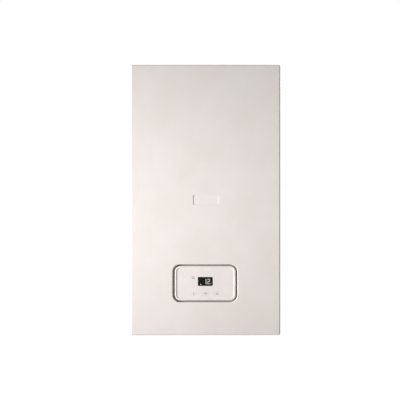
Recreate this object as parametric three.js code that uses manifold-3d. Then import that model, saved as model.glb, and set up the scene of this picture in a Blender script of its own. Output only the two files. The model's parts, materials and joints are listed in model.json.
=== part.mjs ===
// Wall-hung condensing combi boiler, in millimetres, +Z up.
// The shapes are placed from the left-right middle of the boiler (x), the wall (y, the front is -y)
// and the bottom edge of its casing (z). The finished group is then lowered by HANG_Z, so that its
// origin is the middle of the wall bracket's rear face.

import * as THREE from 'three';
import { mergeVertices } from 'three/addons/utils/BufferGeometryUtils.js';
import Module from 'manifold-3d';

const wasm = await Module();
wasm.setup();

// ---- Driving dimensions ----------------------------------------------------------------------

const WIDTH = 410;
const HEIGHT = 740;
const DEPTH = 310;
const SHEET = 1.2; // painted steel of the casing and panels
const EDGE_R = 4; // rounding of the casing's front edges
const CORNER_R = 5; // rounding of the casing's four corners, seen from the front
const CASING_RETURN = 45; // how far the front casing wraps round the sides
const GAP = 0.3; // between pieces that touch
const HANG_Z = 690; // height of the wall bracket's middle

const PANEL = { x: -1, z: 142, width: 177, height: 103, radius: 20, groove: 4.5 };
const RIM_SETBACK = 0.8; // the fascia's rim lies this far behind the casing's front
const FIELD_STEP = 1.5; // the fascia's inner field lies this far behind its rim
const RIM_WIDTH = 5;
const GROOVE_DEPTH = 7.8; // floor of the groove round the fascia, from the casing's front
const BADGE = { x: 1.5, z: 370, width: 70, height: 25.7, radius: 3 };
const DISPLAY = { x: -0.25, z: 147, width: 40.5, height: 24, radius: 2 };
const KEYS = {
  key_reset: { x: -33.5, z: 157.6, width: 9, height: 9, radius: 4.4 },
  key_mode: { x: -32, z: 114, width: 16, height: 9, radius: 4 },
  key_down: { x: 0.5, z: 114, width: 16, height: 9, radius: 4 },
  key_up: { x: 32, z: 114, width: 16, height: 9, radius: 4 },
};

const GROOVE_FLOOR = -DEPTH + GROOVE_DEPTH;
const BOX = { half: 150, bottom: 60, top: 215, front: -299.7, back: -240, wall: 2.5 }; // control box
const HINGE = { y: -255, z: 68, pin: 4 }; // the control box folds down about this line
const SCREW = { x: 160, y: -285 }; // captive screws under the front edge

const FRAME_HALF = WIDTH / 2 - 1.5; // half width of the rear frame
const FRAME_FRONT = -14; // the rear frame's front face
const FLOOR = { z: 38, thick: 1.5, front: -235 }; // bottom plate
const SHELF_Z = FLOOR.z + FLOOR.thick;

const FLUE = { y: -150, outer: 51, inner: 31.5, wall: 1.5, bottom: 690, top: 747 };
const DRUM = { x: -40, z: 520, radius: 118, front: -222, back: -96, wall: 2.5 };
const FAN = { x: 128, z: 415, radius: 66, front: -205, back: -150 };
const FAN_OUTLET = { x: 172, y: -178, z: 500 };
const PUMP = { x: 120, z: 180, radius: 48, front: -135, back: -90 };
const VALVE = { x0: -10, x1: 70, y0: -232, y1: -164, z0: 280, z1: 345 }; // gas valve
const STUB_Y = -105; // the row of pipe stubs under the boiler
const BLOCK_R = 24; // bodies of the two hydraulic blocks
const FLOW_BLOCK_Z = 112;
const RETURN_BLOCK_Z = 98;
const PLATES = { half: 92, z0: 190.3, z1: 262, y0: -88, y1: -36 }; // plate heat exchanger
const EXCHANGER_PORTS = [-84, 76];
const VESSEL = { half: 150, z0: 330, z1: 700, y0: -88, y1: -20, wall: 1.5, seam: 4 };
const TRAP = { x: -60, y: -185, radius: 28, bottom: 90, top: 250 };
const TAP = { x: 105, y: -165 }; // filling tap
const RELIEF = { x: -150, front: -180 }; // safety valve
const GLAND = { x: 110, y: -205, body: 8.5 };
const IGNITER = [DRUM.x - 55, DRUM.z + 55]; // up and to the left of the burner door's middle
const VESSEL_PORT = { x: 85, y: -54 };
const PUMP_OUTLET = [84, -112];
const STUB_END = 6;
const STUBS = [
  { name: 'heating_flow_stub', x: -140, radius: 11 },
  { name: 'hot_water_stub', x: -70, radius: 8 },
  { name: 'gas_pipe', x: 0, radius: 9 },
  { name: 'cold_water_stub', x: 70, radius: 8 },
  { name: 'heating_return_stub', x: 140, radius: 11 },
];
const SOCKET_END = 60; // the water stubs meet the blocks' sockets here

// ---- Finishes --------------------------------------------------------------------------------

/** A finish from its colour, roughness and metalness. */
const finish = (color, roughness, metalness = 0) =>
  new THREE.MeshStandardMaterial({ color, roughness, metalness });

const WHITE_PAINT = finish(0xf1eae6, 0.42);
const FASCIA_PLASTIC = finish(0xf3ebe7, 0.4);
const GROOVE_PLASTIC = finish(0xcfc8c2, 0.5);
const DISPLAY_GLASS = finish(0x17130f, 0.12);
const KEY_PLASTIC = finish(0xefe8e4, 0.42);
const GREY_PLASTIC = finish(0x6d7072, 0.55);
const BLACK_PLASTIC = finish(0x1d1e20, 0.5);
const RED_PLASTIC = finish(0xb3201c, 0.4);
const BOARD_GREEN = finish(0x1f6b3a, 0.55);
const GALVANISED = finish(0xb6babc, 0.42, 0.9);
const STAINLESS = finish(0xc3c5c6, 0.3, 1);
const CAST_ALUMINIUM = finish(0xa9acae, 0.45, 0.9);
const BRASS = finish(0xc2a15a, 0.35, 1);
const COPPER = finish(0xc4764d, 0.32, 1);
const VESSEL_PAINT = finish(0xa8251f, 0.45);
const CERAMIC = finish(0xe9e6dc, 0.35);
const PUMP_PAINT = finish(0x2f3236, 0.5);

// ---- Shape helpers ---------------------------------------------------------------------------

const UNIT = {
  x: new THREE.Vector3(1, 0, 0),
  y: new THREE.Vector3(0, 1, 0),
  z: new THREE.Vector3(0, 0, 1),
};
const ACROSS = { x: ['y', 'z'], y: ['x', 'z'], z: ['x', 'y'] };

/** Closed geometry to a solid, on a grid of 1/1000 mm so that faces meant to be flush are flush. */
function toSolid(geometry) {
  geometry.deleteAttribute('normal');
  geometry.deleteAttribute('uv');
  const places = geometry.attributes.position.array;
  places.forEach((value, i) => {
    places[i] = Math.round(value * 1000) / 1000;
  });
  const merged = mergeVertices(geometry, 1e-4);
  const corners = merged.index.array;
  const faces = [];
  for (let i = 0; i < corners.length; i += 3) {
    const [a, b, c] = corners.slice(i, i + 3);
    if (a !== b && b !== c && c !== a) faces.push(a, b, c);
  }
  const build = (triangles) => new wasm.Manifold(new wasm.Mesh({
    numProp: 3,
    vertProperties: Float32Array.from(merged.attributes.position.array),
    triVerts: Uint32Array.from(triangles),
  }));
  const solid = build(faces);
  return solid.volume() > 0 ? solid : build(faces.reverse());
}

const join = (first, ...others) => others.reduce((solid, next) => solid.add(next), first);
const cut = (first, ...others) => others.reduce((solid, next) => solid.subtract(next), first);

/** Turns a geometry made along local z to run along an axis, from a centre in the plane across it. */
function along(geometry, axis, [a, b] = [0, 0]) {
  const [u, v] = ACROSS[axis].map((name) => UNIT[name]);
  geometry.applyMatrix4(new THREE.Matrix4().makeBasis(u, v, UNIT[axis]));
  const offset = u.clone().multiplyScalar(a).addScaledVector(v, b);
  geometry.translate(offset.x, offset.y, offset.z);
  return toSolid(geometry);
}

/** Box between two opposite corners, in any order. */
function block([x0, y0, z0], [x1, y1, z1]) {
  const geometry = new THREE.BoxGeometry(Math.abs(x1 - x0), Math.abs(y1 - y0), Math.abs(z1 - z0));
  geometry.translate((x0 + x1) / 2, (y0 + y1) / 2, (z0 + z1) / 2);
  return toSolid(geometry);
}

/** Turned solid: the profile is a list of [radius, place along the axis]. */
function turned(axis, centre, profile, sides = 16) {
  const points = profile.map(([radius, place]) => new THREE.Vector2(radius, place));
  const geometry = new THREE.LatheGeometry(points, sides);
  geometry.rotateX(Math.PI / 2);
  return along(geometry, axis, centre);
}

const rod = (axis, centre, radius, from, to, sides = 16) =>
  turned(axis, centre, [[0, from], [radius, from], [radius, to], [0, to]], sides);

const ring = (axis, centre, outer, inner, from, to, sides = 16) =>
  turned(axis, centre, [[inner, from], [outer, from], [outer, to], [inner, to], [inner, from]], sides);

/** Rectangle with rounded corners, about a centre. */
function roundRect([cx, cy], width, height, radius) {
  const [x, y] = [width / 2 - radius, height / 2 - radius];
  const shape = new THREE.Shape();
  shape.absarc(cx + x, cy + y, radius, 0, Math.PI / 2);
  shape.absarc(cx - x, cy + y, radius, Math.PI / 2, Math.PI);
  shape.absarc(cx - x, cy - y, radius, Math.PI, 1.5 * Math.PI);
  shape.absarc(cx + x, cy - y, radius, 1.5 * Math.PI, 2 * Math.PI);
  shape.closePath();
  return shape;
}

/** A flat outline made thick along an axis. */
function slab(axis, shape, from, to, curveSegments = 2) {
  const options = { depth: to - from, bevelEnabled: false, curveSegments };
  const geometry = new THREE.ExtrudeGeometry(shape, options);
  geometry.translate(0, 0, from);
  return along(geometry, axis);
}

/** A slab whose edges are rounded at both faces. */
function pillow(axis, shape, from, to, radius, steps) {
  const geometry = new THREE.ExtrudeGeometry(shape, {
    depth: to - from - 2 * radius,
    bevelThickness: radius,
    bevelSize: radius,
    bevelOffset: -radius,
    bevelSegments: steps,
    curveSegments: Math.ceil(steps / 2),
  });
  geometry.translate(0, 0, from + radius);
  return along(geometry, axis);
}

/** A way through a list of stations, used one by one. */
class Route extends THREE.Curve {
  constructor(stations) {
    super();
    this.stations = stations;
  }

  getPointAt(u, target = new THREE.Vector3()) {
    return target.copy(this.stations[Math.round(u * (this.stations.length - 1))]);
  }

  getTangentAt(u, target = new THREE.Vector3()) {
    const last = this.stations.length - 1;
    const at = Math.round(u * last);
    const here = this.stations[at];
    const before = here.clone().sub(this.stations[Math.max(at - 1, 0)]).normalize();
    const after = this.stations[Math.min(at + 1, last)].clone().sub(here).normalize();
    return target.copy(before).add(after).normalize();
  }
}

/** Stations of a bent pipe: straight between its corners, with a rounded bend at each. */
function bends(corners, radius, steps = 3) {
  const points = corners.map((corner) => new THREE.Vector3(...corner));
  const stations = [points[0]];
  for (let i = 1; i < points.length - 1; i += 1) {
    const into = points[i - 1].clone().sub(points[i]).normalize();
    const out = points[i + 1].clone().sub(points[i]).normalize();
    const reach = radius / Math.tan(into.angleTo(out) / 2);
    const bend = new THREE.QuadraticBezierCurve3(
      points[i].clone().addScaledVector(into, reach),
      points[i],
      points[i].clone().addScaledVector(out, reach),
    );
    stations.push(...bend.getPoints(steps));
  }
  stations.push(points[points.length - 1]);
  return stations;
}

/** Solid round bar through the stations, made longer at both ends by overrun. */
function bar(stations, radius, sides, overrun = 0) {
  const route = stations.map((station) => station.clone());
  const [first, second] = route;
  const [last, previous] = [route[route.length - 1], route[route.length - 2]];
  first.addScaledVector(first.clone().sub(second).normalize(), overrun);
  last.addScaledVector(last.clone().sub(previous).normalize(), overrun);
  const section = new THREE.Shape();
  section.absarc(0, 0, radius, 0, 2 * Math.PI);
  const geometry = new THREE.ExtrudeGeometry(section, {
    steps: route.length - 1,
    extrudePath: new Route(route),
    curveSegments: sides / 2, // a full circle has twice as many points
  });
  return toSolid(geometry);
}

/** Bent pipe with a bore. Fittings are joined on before the bore is cut. */
function pipe(stations, radius, wall, sides, ...fittings) {
  const outside = join(bar(stations, radius, sides), ...fittings);
  return cut(outside, bar(stations, radius - wall, sides, 1));
}

/** Hexagon across an upright axis, as a nut. */
const nut = ([x, y], radius, from, to) => rod('z', [x, y], radius, from, to, 6);

/** Names a solid and gives it its finish. */
function part(name, solid, material) {
  const { vertProperties, triVerts, numProp } = solid.getMesh();
  const geometry = new THREE.BufferGeometry();
  const positions = new Float32Array((vertProperties.length / numProp) * 3);
  for (let i = 0; i < positions.length / 3; i += 1) {
    positions.set(vertProperties.subarray(i * numProp, i * numProp + 3), i * 3);
  }
  geometry.setAttribute('position', new THREE.BufferAttribute(positions, 3));
  geometry.setIndex(Array.from(triVerts));
  geometry.computeVertexNormals();
  const mesh = new THREE.Mesh(geometry, material);
  mesh.name = name;
  return mesh;
}

/** The panel's outline, made smaller by an inset on every side. */
const panelOutline = (inset) => roundRect(
  [PANEL.x, PANEL.z],
  PANEL.width - 2 * inset,
  PANEL.height - 2 * inset,
  PANEL.radius - inset,
);

const outlineOf = ({ x, z, width, height, radius }, grow = 0) =>
  roundRect([x, z], width + 2 * grow, height + 2 * grow, radius + grow);

// ---- Front casing ----------------------------------------------------------------------------

/** Steel tray with rounded front edges, an opening for the controls and one for the badge. */
function frontCasing() {
  const rear = -DEPTH + CASING_RETURN;
  const tray = (inset, steps) => pillow(
    'y',
    roundRect([0, HEIGHT / 2], WIDTH - 2 * inset, HEIGHT - 2 * inset, CORNER_R - inset),
    -DEPTH + inset,
    rear + 2 * EDGE_R,
    EDGE_R - inset,
    steps,
  );
  const lip = cut(
    slab('y', panelOutline(-SHEET), -DEPTH + SHEET / 2, GROOVE_FLOOR - GAP, 3),
    slab('y', panelOutline(0), -DEPTH, GROOVE_FLOOR, 3),
  );
  const cup = (side) => rod('z', [side * SCREW.x, SCREW.y], 7, 0.3, 4);
  const recess = (side) => rod('z', [side * SCREW.x, SCREW.y], 5.8, -1, 2.8);
  const hole = (side) => rod('z', [side * SCREW.x, SCREW.y], 2.7, -1, 6, 10);
  const shell = cut(
    tray(0, 3),
    tray(SHEET, 1),
    block([-WIDTH, rear, -1], [WIDTH, 0, HEIGHT + 1]),
    slab('y', panelOutline(0), -DEPTH - 1, -DEPTH + 3, 3),
    slab('y', outlineOf(BADGE), -DEPTH - 1, -DEPTH + 3),
  );
  return cut(join(shell, lip, cup(-1), cup(1)), recess(-1), recess(1), hole(-1), hole(1));
}

/** Bare name badge: a raised plate on a flange that lies behind the casing's sheet. */
function badgePlate() {
  const behindSheet = -DEPTH + SHEET + GAP;
  return join(
    slab('y', outlineOf(BADGE, -GAP), behindSheet - 0.4, behindSheet + 1),
    slab('y', outlineOf(BADGE, 3), behindSheet, behindSheet + 1),
  );
}

/** Captive casing screw: its head sits in the casing's cup and its shank in a slotted tab. */
function casingScrew(side) {
  const centre = [side * SCREW.x, SCREW.y];
  const driveSlot = block([centre[0] - 4, SCREW.y - 0.6, 0], [centre[0] + 4, SCREW.y + 0.6, 1.2]);
  return cut(join(rod('z', centre, 5.4, 0.3, 2.5), rod('z', centre, 2.2, 2.4, 16, 8)), driveSlot);
}

// ---- Control box -----------------------------------------------------------------------------

const FASCIA_FRONT = -DEPTH + RIM_SETBACK;
const FASCIA_FIELD = FASCIA_FRONT + FIELD_STEP;
const FIELD_REAR = FASCIA_FIELD + 2;
const KEY_TRAVEL = 0.9;
const KEY_FLANGE = { grow: 1.5, thick: 1.2 };
const BOARD_FRONT = -297; // display board

/** Fascia: a dished plate with a raised rim, openings for display and keys, and four posts. */
function controlFascia() {
  const rear = GROOVE_FLOOR - GAP;
  const openings = [DISPLAY, ...Object.values(KEYS)].map(
    (piece) => slab('y', outlineOf(piece, 0.35), -DEPTH - 1, rear + 1),
  );
  const dished = cut(
    slab('y', panelOutline(PANEL.groove), FASCIA_FRONT, rear, 3),
    slab('y', panelOutline(PANEL.groove + RIM_WIDTH), -DEPTH - 1, FASCIA_FIELD, 3),
    slab('y', panelOutline(PANEL.groove + RIM_WIDTH / 2), FIELD_REAR, rear + 1),
    ...openings,
  );
  const posts = [[-56, 108], [54, 108], [-56, 176], [54, 176]].map(
    (centre) => rod('y', centre, 3, FIELD_REAR - 0.5, BOARD_FRONT - GAP, 6),
  );
  return join(dished, ...posts);
}

/** Ring that forms the floor of the groove round the fascia. */
function bezelRing() {
  return cut(
    slab('y', panelOutline(-6.5), GROOVE_FLOOR, BOX.front - GAP, 3),
    slab('y', panelOutline(PANEL.groove + RIM_WIDTH), GROOVE_FLOOR - 1, BOX.front),
  );
}

function displayWindow() {
  return slab('y', outlineOf(DISPLAY), FASCIA_FIELD + 0.1, FIELD_REAR);
}

/** Display board with the display's module and one switch behind each key. */
function displayBoard() {
  const board = block([-60, BOARD_FRONT, 104], [58, BOARD_FRONT + 1.6, 180]);
  const display = block([-22, FIELD_REAR + GAP, 133], [21.5, BOARD_FRONT + 0.5, 161]);
  const switches = Object.values(KEYS).map(({ x, z }) => block(
    [x - 3, BOARD_FRONT - 1.3, z - 3],
    [x + 3, BOARD_FRONT + 0.5, z + 3],
  ));
  return join(board, display, ...switches);
}

/** Key: a cap flush with the fascia's field, a retaining flange behind it and a stem. */
function key(outline) {
  const { x, z } = outline;
  const flange = FIELD_REAR + GAP;
  const flangeRear = flange + KEY_FLANGE.thick;
  return join(
    slab('y', outlineOf(outline), FASCIA_FIELD + 0.1, flange + 0.5),
    slab('y', outlineOf(outline, KEY_FLANGE.grow), flange, flangeRear),
    rod('y', [x, z], 1.5, flangeRear - 0.5, BOARD_FRONT - 1.3 - KEY_TRAVEL - 0.1, 8),
  );
}

/** Housing: a tray that opens to the rear, with bushes for the hinge pins and board posts. */
function controlHousing() {
  const { half, bottom, top, front, back, wall } = BOX;
  const inside = block(
    [-half + wall, front + wall, bottom + wall],
    [half - wall, back, top - wall],
  );
  const boardPosts = [[-120, 82], [110, 82], [-120, 195], [110, 195]].map(
    (centre) => rod('y', centre, 4, front + 1, -262.3, 6),
  );
  const frontOpening = block([-75, front - 1, 99], [73, front + wall + 1, 185]);
  const tray = cut(block([-half, front, bottom], [half, back - 3, top]), inside, frontOpening);
  const bush = (side) => rod('x', [HINGE.y, HINGE.z], 7.5, side * (half - 9), side * (half - 1));
  const bore = (side) => rod('x', [HINGE.y, HINGE.z], HINGE.pin + 0.3, side * 139, side * 155);
  const trimmed = join(tray, bush(1), bush(-1));
  return cut(join(trimmed, ...boardPosts), bore(1), bore(-1));
}

function controlRearCover() {
  const { half, bottom, top, back } = BOX;
  const vents = [-60, -30, 0, 30, 60].map(
    (x) => block([x - 10, back - 4, top - 40], [x + 10, back + 1, top - 36]),
  );
  return cut(block([-half, back - 2.7, bottom], [half, back, top]), ...vents);
}

/** Main board with its transformer, relays, capacitor and a row of connectors. */
function mainCircuitBoard() {
  const rear = -260.4;
  const board = block([-130, -262, 74], [120, rear, 205]);
  const transformer = block([-100, rear - 0.5, 150], [-60, rear + 15, 190]);
  const relays = [-40, -18, 4].map((x) => block([x, rear - 0.5, 165], [x + 18, rear + 13, 190]));
  const capacitor = rod('y', [60, 175], 10, rear - 0.5, rear + 15, 16);
  const connectors = [-95, -55, -15, 25, 65].map(
    (x) => block([x, rear - 0.5, 92], [x + 32, rear + 11, 104]),
  );
  return join(board, transformer, ...relays, capacitor, ...connectors);
}

/** Bracket beside the control box: a cheek with the hinge pin, a foot and the casing's screw tab. */
function hingeBracket(side) {
  const at = (x) => side * x;
  const cheek = join(
    block([at(152), -268, SHELF_Z + GAP], [at(153.5), -205, 82]),
    block([at(152), -268, 8], [at(153.5), FLOOR.front - 1, SHELF_Z + 1]),
  );
  const foot = block([at(153), FLOOR.front + 1, SHELF_Z + GAP], [at(182), -205, SHELF_Z + 1.8]);
  const tab = block([at(152), -300, 8], [at(172), -240, 9.5]);
  const slot = block([at(SCREW.x - 3), -301, 7], [at(SCREW.x + 3), SCREW.y + 3.5, 11]);
  const pin = rod('x', [HINGE.y, HINGE.z], HINGE.pin, at(142), at(152.5));
  return join(cheek, foot, cut(tab, slot), pin);
}

// ---- Frame and panels ------------------------------------------------------------------------

/** Chassis: rear plate with flanges both ways, hanging slots, drum arms and the vessel's shelf. */
function rearFrame() {
  const [low, high] = [12, HEIGHT - 1.6];
  const sheet = 1.5;
  const inner = FRAME_HALF - sheet;
  const plate = cut(
    block([-FRAME_HALF, -34, low], [FRAME_HALF, 0, high]),
    block([-inner, -40, low - 1], [inner, FRAME_FRONT, high + 1]),
    block([-inner, FRAME_FRONT + sheet, low + sheet], [inner, 1, high - sheet]),
  );
  const arms = [-1, 1].map((side) => join(
    block([side * FRAME_HALF, DRUM.front + 3.3, 480], [side * inner, -30, 534]),
    block([side * (inner + 0.5), DRUM.front + 3.3, 486], [side * 182, DRUM.front + 4.8, 528]),
  ));
  const seamBottom = VESSEL.z0 - VESSEL.seam;
  const shelf = join(
    block([-70, -62, seamBottom - 1.8], [70, FRAME_FRONT + 0.5, seamBottom - GAP]),
    block([-70, FRAME_FRONT - 1.5, 296], [70, FRAME_FRONT + 0.5, seamBottom - 1]),
  );
  const slots = [-110, 110].map(
    (x) => block([x - 16, -20, 668], [x + 16, -10, 687.3]),
  );
  return cut(join(plate, ...arms, shelf), ...slots);
}

/** Wall bracket: a strip screwed to the wall, with two hooks that the frame's slots hang on. */
function hangingBracket() {
  const strip = block([-150, -2, 668], [150, 0, 712]);
  const hooks = [-110, 110].map((x) => join(
    block([x - 14, -18, 684], [x + 14, -1, 687]),
    block([x - 14, -18, 684], [x + 14, -16, 700]),
  ));
  const holes = [-135, -60, 60, 135].map(
    (x) => slab('y', roundRect([x, 690], 18, 8, 3.9), -3, 1, 1),
  );
  return cut(join(strip, ...hooks), ...holes);
}

/** Side panel with a joggled front lip that lies inside the casing and a bottom return. */
function sidePanel(side) {
  const at = (inset) => side * (WIDTH / 2 - inset);
  const front = -DEPTH + CASING_RETURN + 0.5;
  return join(
    block([at(0), front, 0], [at(SHEET), -3, HEIGHT]),
    block([at(2.2), front - 10, 6], [at(3.4), front + 1.2, HEIGHT - 6]),
    block([at(0.5), front, 6], [at(3.4), front + 1.2, HEIGHT - 6]),
    block([at(0.5), front, 0], [at(15), -3, SHEET]),
  );
}

/** Top panel with the flue opening and a joggled lip under the casing's top return. */
function topPanel() {
  const front = -DEPTH + CASING_RETURN + 0.5;
  const half = WIDTH / 2 - SHEET - 0.4;
  const sheet = join(
    block([-half, front, HEIGHT - SHEET], [half, -1, HEIGHT]),
    block([-half + 6, front - 10, HEIGHT - 3.6], [half - 6, front + 1.2, HEIGHT - 2.4]),
    block([-half + 6, front, HEIGHT - 3.6], [half - 6, front + 1.2, HEIGHT - 0.5]),
  );
  return cut(sheet, rod('z', [0, FLUE.y], FLUE.outer + 0.6, HEIGHT - 5, HEIGHT + 5, 32));
}

/** Bottom plate with a square hole for each thing that passes down through it. */
function bottomPlate() {
  const half = FRAME_HALF - 1.8;
  const plate = block([-half, FLOOR.front, FLOOR.z], [half, FRAME_FRONT - 0.3, SHELF_Z]);
  const edges = [-1, 1].map((side) => block(
    [side * half, FLOOR.front, FLOOR.z],
    [side * (half - 1.5), -36, SHELF_Z + 12],
  ));
  const holes = [
    ...STUBS.map(({ x, radius }) => [x, STUB_Y, radius + 0.8]),
    [TRAP.x, TRAP.y, 11],
    [TAP.x, TAP.y, 5],
    [GLAND.x, GLAND.y, GLAND.body + GAP],
  ].map(([x, y, reach]) => block(
    [x - reach, y - reach, FLOOR.z - 1],
    [x + reach, y + reach, SHELF_Z + 1],
  ));
  return cut(join(plate, ...edges), ...holes);
}

// ---- Flue, heat exchanger and burner ----------------------------------------------------------

/** Twin flue collar, 60 mm inside 100 mm: exhaust in the middle and air round it. */
function flueCollar() {
  const { outer, inner, wall, bottom, top } = FLUE;
  const centre = [0, FLUE.y];
  const outerTube = ring('z', centre, outer, outer - 2, 712, top, 32);
  const innerTube = ring('z', centre, inner, inner - wall, bottom, top - 4, 24);
  const flange = ring('z', centre, 66, outer - 1, HEIGHT + GAP, HEIGHT + 2.3, 32);
  const webs = [0, 1, 2].map((index) => {
    const web = new THREE.BoxGeometry(19, 2, 8);
    web.translate((outer + inner) / 2 - 0.5, 0, 720);
    web.rotateZ(Math.PI / 2 + (index * 2 * Math.PI) / 3);
    web.translate(0, FLUE.y, 0);
    return toSolid(web);
  });
  return join(outerTube, innerTube, flange, ...webs);
}

const exhaustDuct = () =>
  ring('z', [0, FLUE.y], FLUE.inner, FLUE.inner - FLUE.wall, 645.3, FLUE.bottom - GAP, 24);

/** Drum of the primary heat exchanger, with its exhaust neck, three ports and mounting ears. */
function heatExchanger() {
  const { x, z, radius, front, back, wall } = DRUM;
  const centre = [x, z];
  const neck = { radius: 34, top: 645 };
  const outside = join(
    rod('y', centre, radius, front + 1, back, 32),
    rod('y', centre, radius + 6, front, front + 3, 32),
    rod('z', [0, FLUE.y], neck.radius, z + 60, neck.top, 20),
    block([-200, front + 0.2, 490], [200, front + 2.9, 524]),
    rod('x', [-130, z], 13, x - radius - 2, x - radius + 10, 12),
    rod('z', [20, -112], 13, 405, 432, 12),
    rod('z', [-60, -160], 12, 390, 415, 12),
  );
  return cut(
    outside,
    rod('y', centre, radius - wall, front + 3, back - wall, 32),
    rod('y', centre, 95, front - 1, front + 5, 32),
    rod('z', [0, FLUE.y], FLUE.inner - 1.5, z + 50, neck.top + 1, 20),
    rod('x', [-130, z], 8, x - radius - 3, x - radius + 20, 10),
    rod('z', [20, -112], 8, 400, 440, 10),
    rod('z', [-60, -160], 7, 385, 425, 10),
  );
}

/** Helix about the drum's axis. */
class Helix extends THREE.Curve {
  constructor(radius, pitch, turns) {
    super();
    Object.assign(this, { radius, pitch, turns });
  }

  getPoint(t, target = new THREE.Vector3()) {
    const angle = 2 * Math.PI * this.turns * t;
    return target.set(
      DRUM.x + this.radius * Math.cos(angle),
      -110 - this.pitch * this.turns * t,
      DRUM.z + this.radius * Math.sin(angle),
    );
  }
}

/** Water coil inside the drum, one unbroken tube. */
function heatExchangerCoil() {
  const tube = { radius: 7, sides: 6 };
  const coil = { radius: 98, pitch: 22, turns: 4, stepsPerTurn: 14 };
  const section = new THREE.Shape();
  section.absarc(0, 0, tube.radius, 0, 2 * Math.PI);
  const geometry = new THREE.ExtrudeGeometry(section, {
    steps: coil.turns * coil.stepsPerTurn,
    extrudePath: new Helix(coil.radius, coil.pitch, coil.turns),
    curveSegments: tube.sides / 2,
  });
  return toSolid(geometry);
}

function burnerDoor() {
  const centre = [DRUM.x, DRUM.z];
  const rear = DRUM.front - GAP;
  const door = turned('y', centre, [
    [0, rear], [110, rear], [110, rear - 5.7], [66, rear - 5.7], [56, -240], [0, -240],
  ], 32);
  const studs = [0, 1, 2, 3, 4, 5].map((index) => {
    const angle = (index + 0.5) * (Math.PI / 3);
    const place = [DRUM.x + 100 * Math.cos(angle), DRUM.z + 100 * Math.sin(angle)];
    return rod('y', place, 5.5, -233, -227, 6);
  });
  return cut(
    join(door, ...studs),
    rod('y', centre, 17, -245, -220),
    rod('y', IGNITER, 5.2, -245, -220, 12),
  );
}

function burnerTube() {
  const centre = [DRUM.x, DRUM.z];
  return turned('y', centre, [
    [33, DRUM.front], [45, DRUM.front], [45, -220], [35, -220], [35, -125], [0, -125],
    [0, -127], [33, -127], [33, DRUM.front],
  ], 20);
}

function ignitionElectrode() {
  return join(
    rod('y', IGNITER, 4.6, -258, -206, 12),
    rod('y', IGNITER, 8, -232.3, -228.4, 12),
    rod('y', IGNITER, 1.2, -262, -185, 8),
  );
}

// ---- Fan and gas -----------------------------------------------------------------------------

/** Scroll of the fan, with its inlet behind, its outlet on top and a boss for the gas. */
function fanScroll() {
  const { x, z, radius, front, back } = FAN;
  const wall = 2.5;
  const outlet = FAN_OUTLET;
  const duct = (inset, top) => block(
    [outlet.x - 22 + inset, front + inset, z],
    [outlet.x + 22 - inset, back - inset, top],
  );
  const outside = join(
    rod('y', [x, z], radius, front, back, 28),
    duct(0, outlet.z),
    rod('x', [outlet.y, z], 10, x - radius - 4, x - radius + 12, 10),
  );
  return cut(
    outside,
    rod('y', [x, z], radius - wall, front + wall, back - wall, 28),
    duct(wall, outlet.z - 3),
    rod('z', [outlet.x, outlet.y], 17, outlet.z - 5, outlet.z + 1),
    rod('y', [x, z], 28, back - 5, back + 1, 20),
    rod('y', [x, z], 6, front - 1, front + 5, 12),
    rod('x', [outlet.y, z], 4, x - radius - 6, x - radius + 20, 8),
  );
}

/** Impeller with its shaft: a disc at the motor's side, swept blades, a hub and a ring at the inlet. */
function fanImpeller() {
  const { x, z } = FAN;
  const blades = 9;
  const sweep = 0.6;
  const fins = Array.from({ length: blades }, (_, index) => {
    const fin = new THREE.BoxGeometry(20, 38, 1.6);
    fin.rotateY(sweep);
    fin.translate(43, -176, 0);
    fin.rotateY((index * 2 * Math.PI) / blades);
    fin.translate(x, 0, z);
    return toSolid(fin);
  });
  return join(
    rod('y', [x, z], 54, -196, -194, 24),
    ring('y', [x, z], 54, 36, -159, -157, 24),
    rod('y', [x, z], 10, -199, -170, 12),
    rod('y', [x, z], 4, -236, -198, 10),
    ...fins,
  );
}

function fanMotor() {
  const { x, z, front } = FAN;
  const rear = front - GAP;
  const body = turned('y', [x, z], [
    [0, rear], [48, rear], [48, rear - 4], [42, rear - 4], [42, -244], [36, -250], [0, -250],
  ], 24);
  const plug = block([x + 20, -238, z - 50], [x + 40, -214, z - 30]);
  return cut(join(body, plug), rod('y', [x, z], 5, -240, rear + 1, 12));
}

/** Cast swan neck that carries gas and air from the fan to the burner door. */
function gasAirManifold() {
  const { x, y, z } = FAN_OUTLET;
  const start = z + GAP;
  const end = -240 - GAP;
  const stations = bends([
    [x, y, start], [x, y, 560], [x, -268, 560], [DRUM.x, -268, DRUM.z], [DRUM.x, end, DRUM.z],
  ], 24);
  return pipe(
    stations,
    20,
    3,
    10,
    block([x - 25, y - 25, start], [x + 25, y + 25, start + 3]),
    rod('y', [DRUM.x, DRUM.z], 30, end - 3, end, 20),
  );
}

/** Gas valve: a cast body with two coils on top and a pressure test nipple. */
function gasValve() {
  const { x0, x1, y0, y1, z0, z1 } = VALVE;
  return join(
    block([x0, y0, z0 + 5], [x1, y1, z1]),
    block([x0 + 6, y0 + 6, z0], [x1 - 6, y1 - 6, z0 + 6]),
    rod('z', [x0 + 18, y0 + 18], 14, z1 - 1, z1 + 26),
    rod('z', [x0 + 56, y0 + 18], 14, z1 - 1, z1 + 26),
    rod('y', [x0 + 20, z0 + 22], 4, y0 - 10, y0 + 1, 8),
    rod('y', [x0 + 55, z0 + 35], 11, y0 - 6, y0 + 1),
  );
}

/** Gas pipe from the stub under the boiler up to the gas valve. */
function gasPipe() {
  const { radius } = STUBS.find(({ name }) => name === 'gas_pipe');
  const inlet = [12, -198];
  const stations = bends([
    [0, STUB_Y, STUB_END], [0, STUB_Y, 235], [...inlet, 235], [...inlet, VALVE.z0 - GAP],
  ], 22);
  return pipe(
    stations,
    radius,
    1.2,
    8,
    ...stubNuts([0, STUB_Y], radius),
    nut(inlet, 15, VALVE.z0 - 14, VALVE.z0 - GAP),
  );
}

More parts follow.
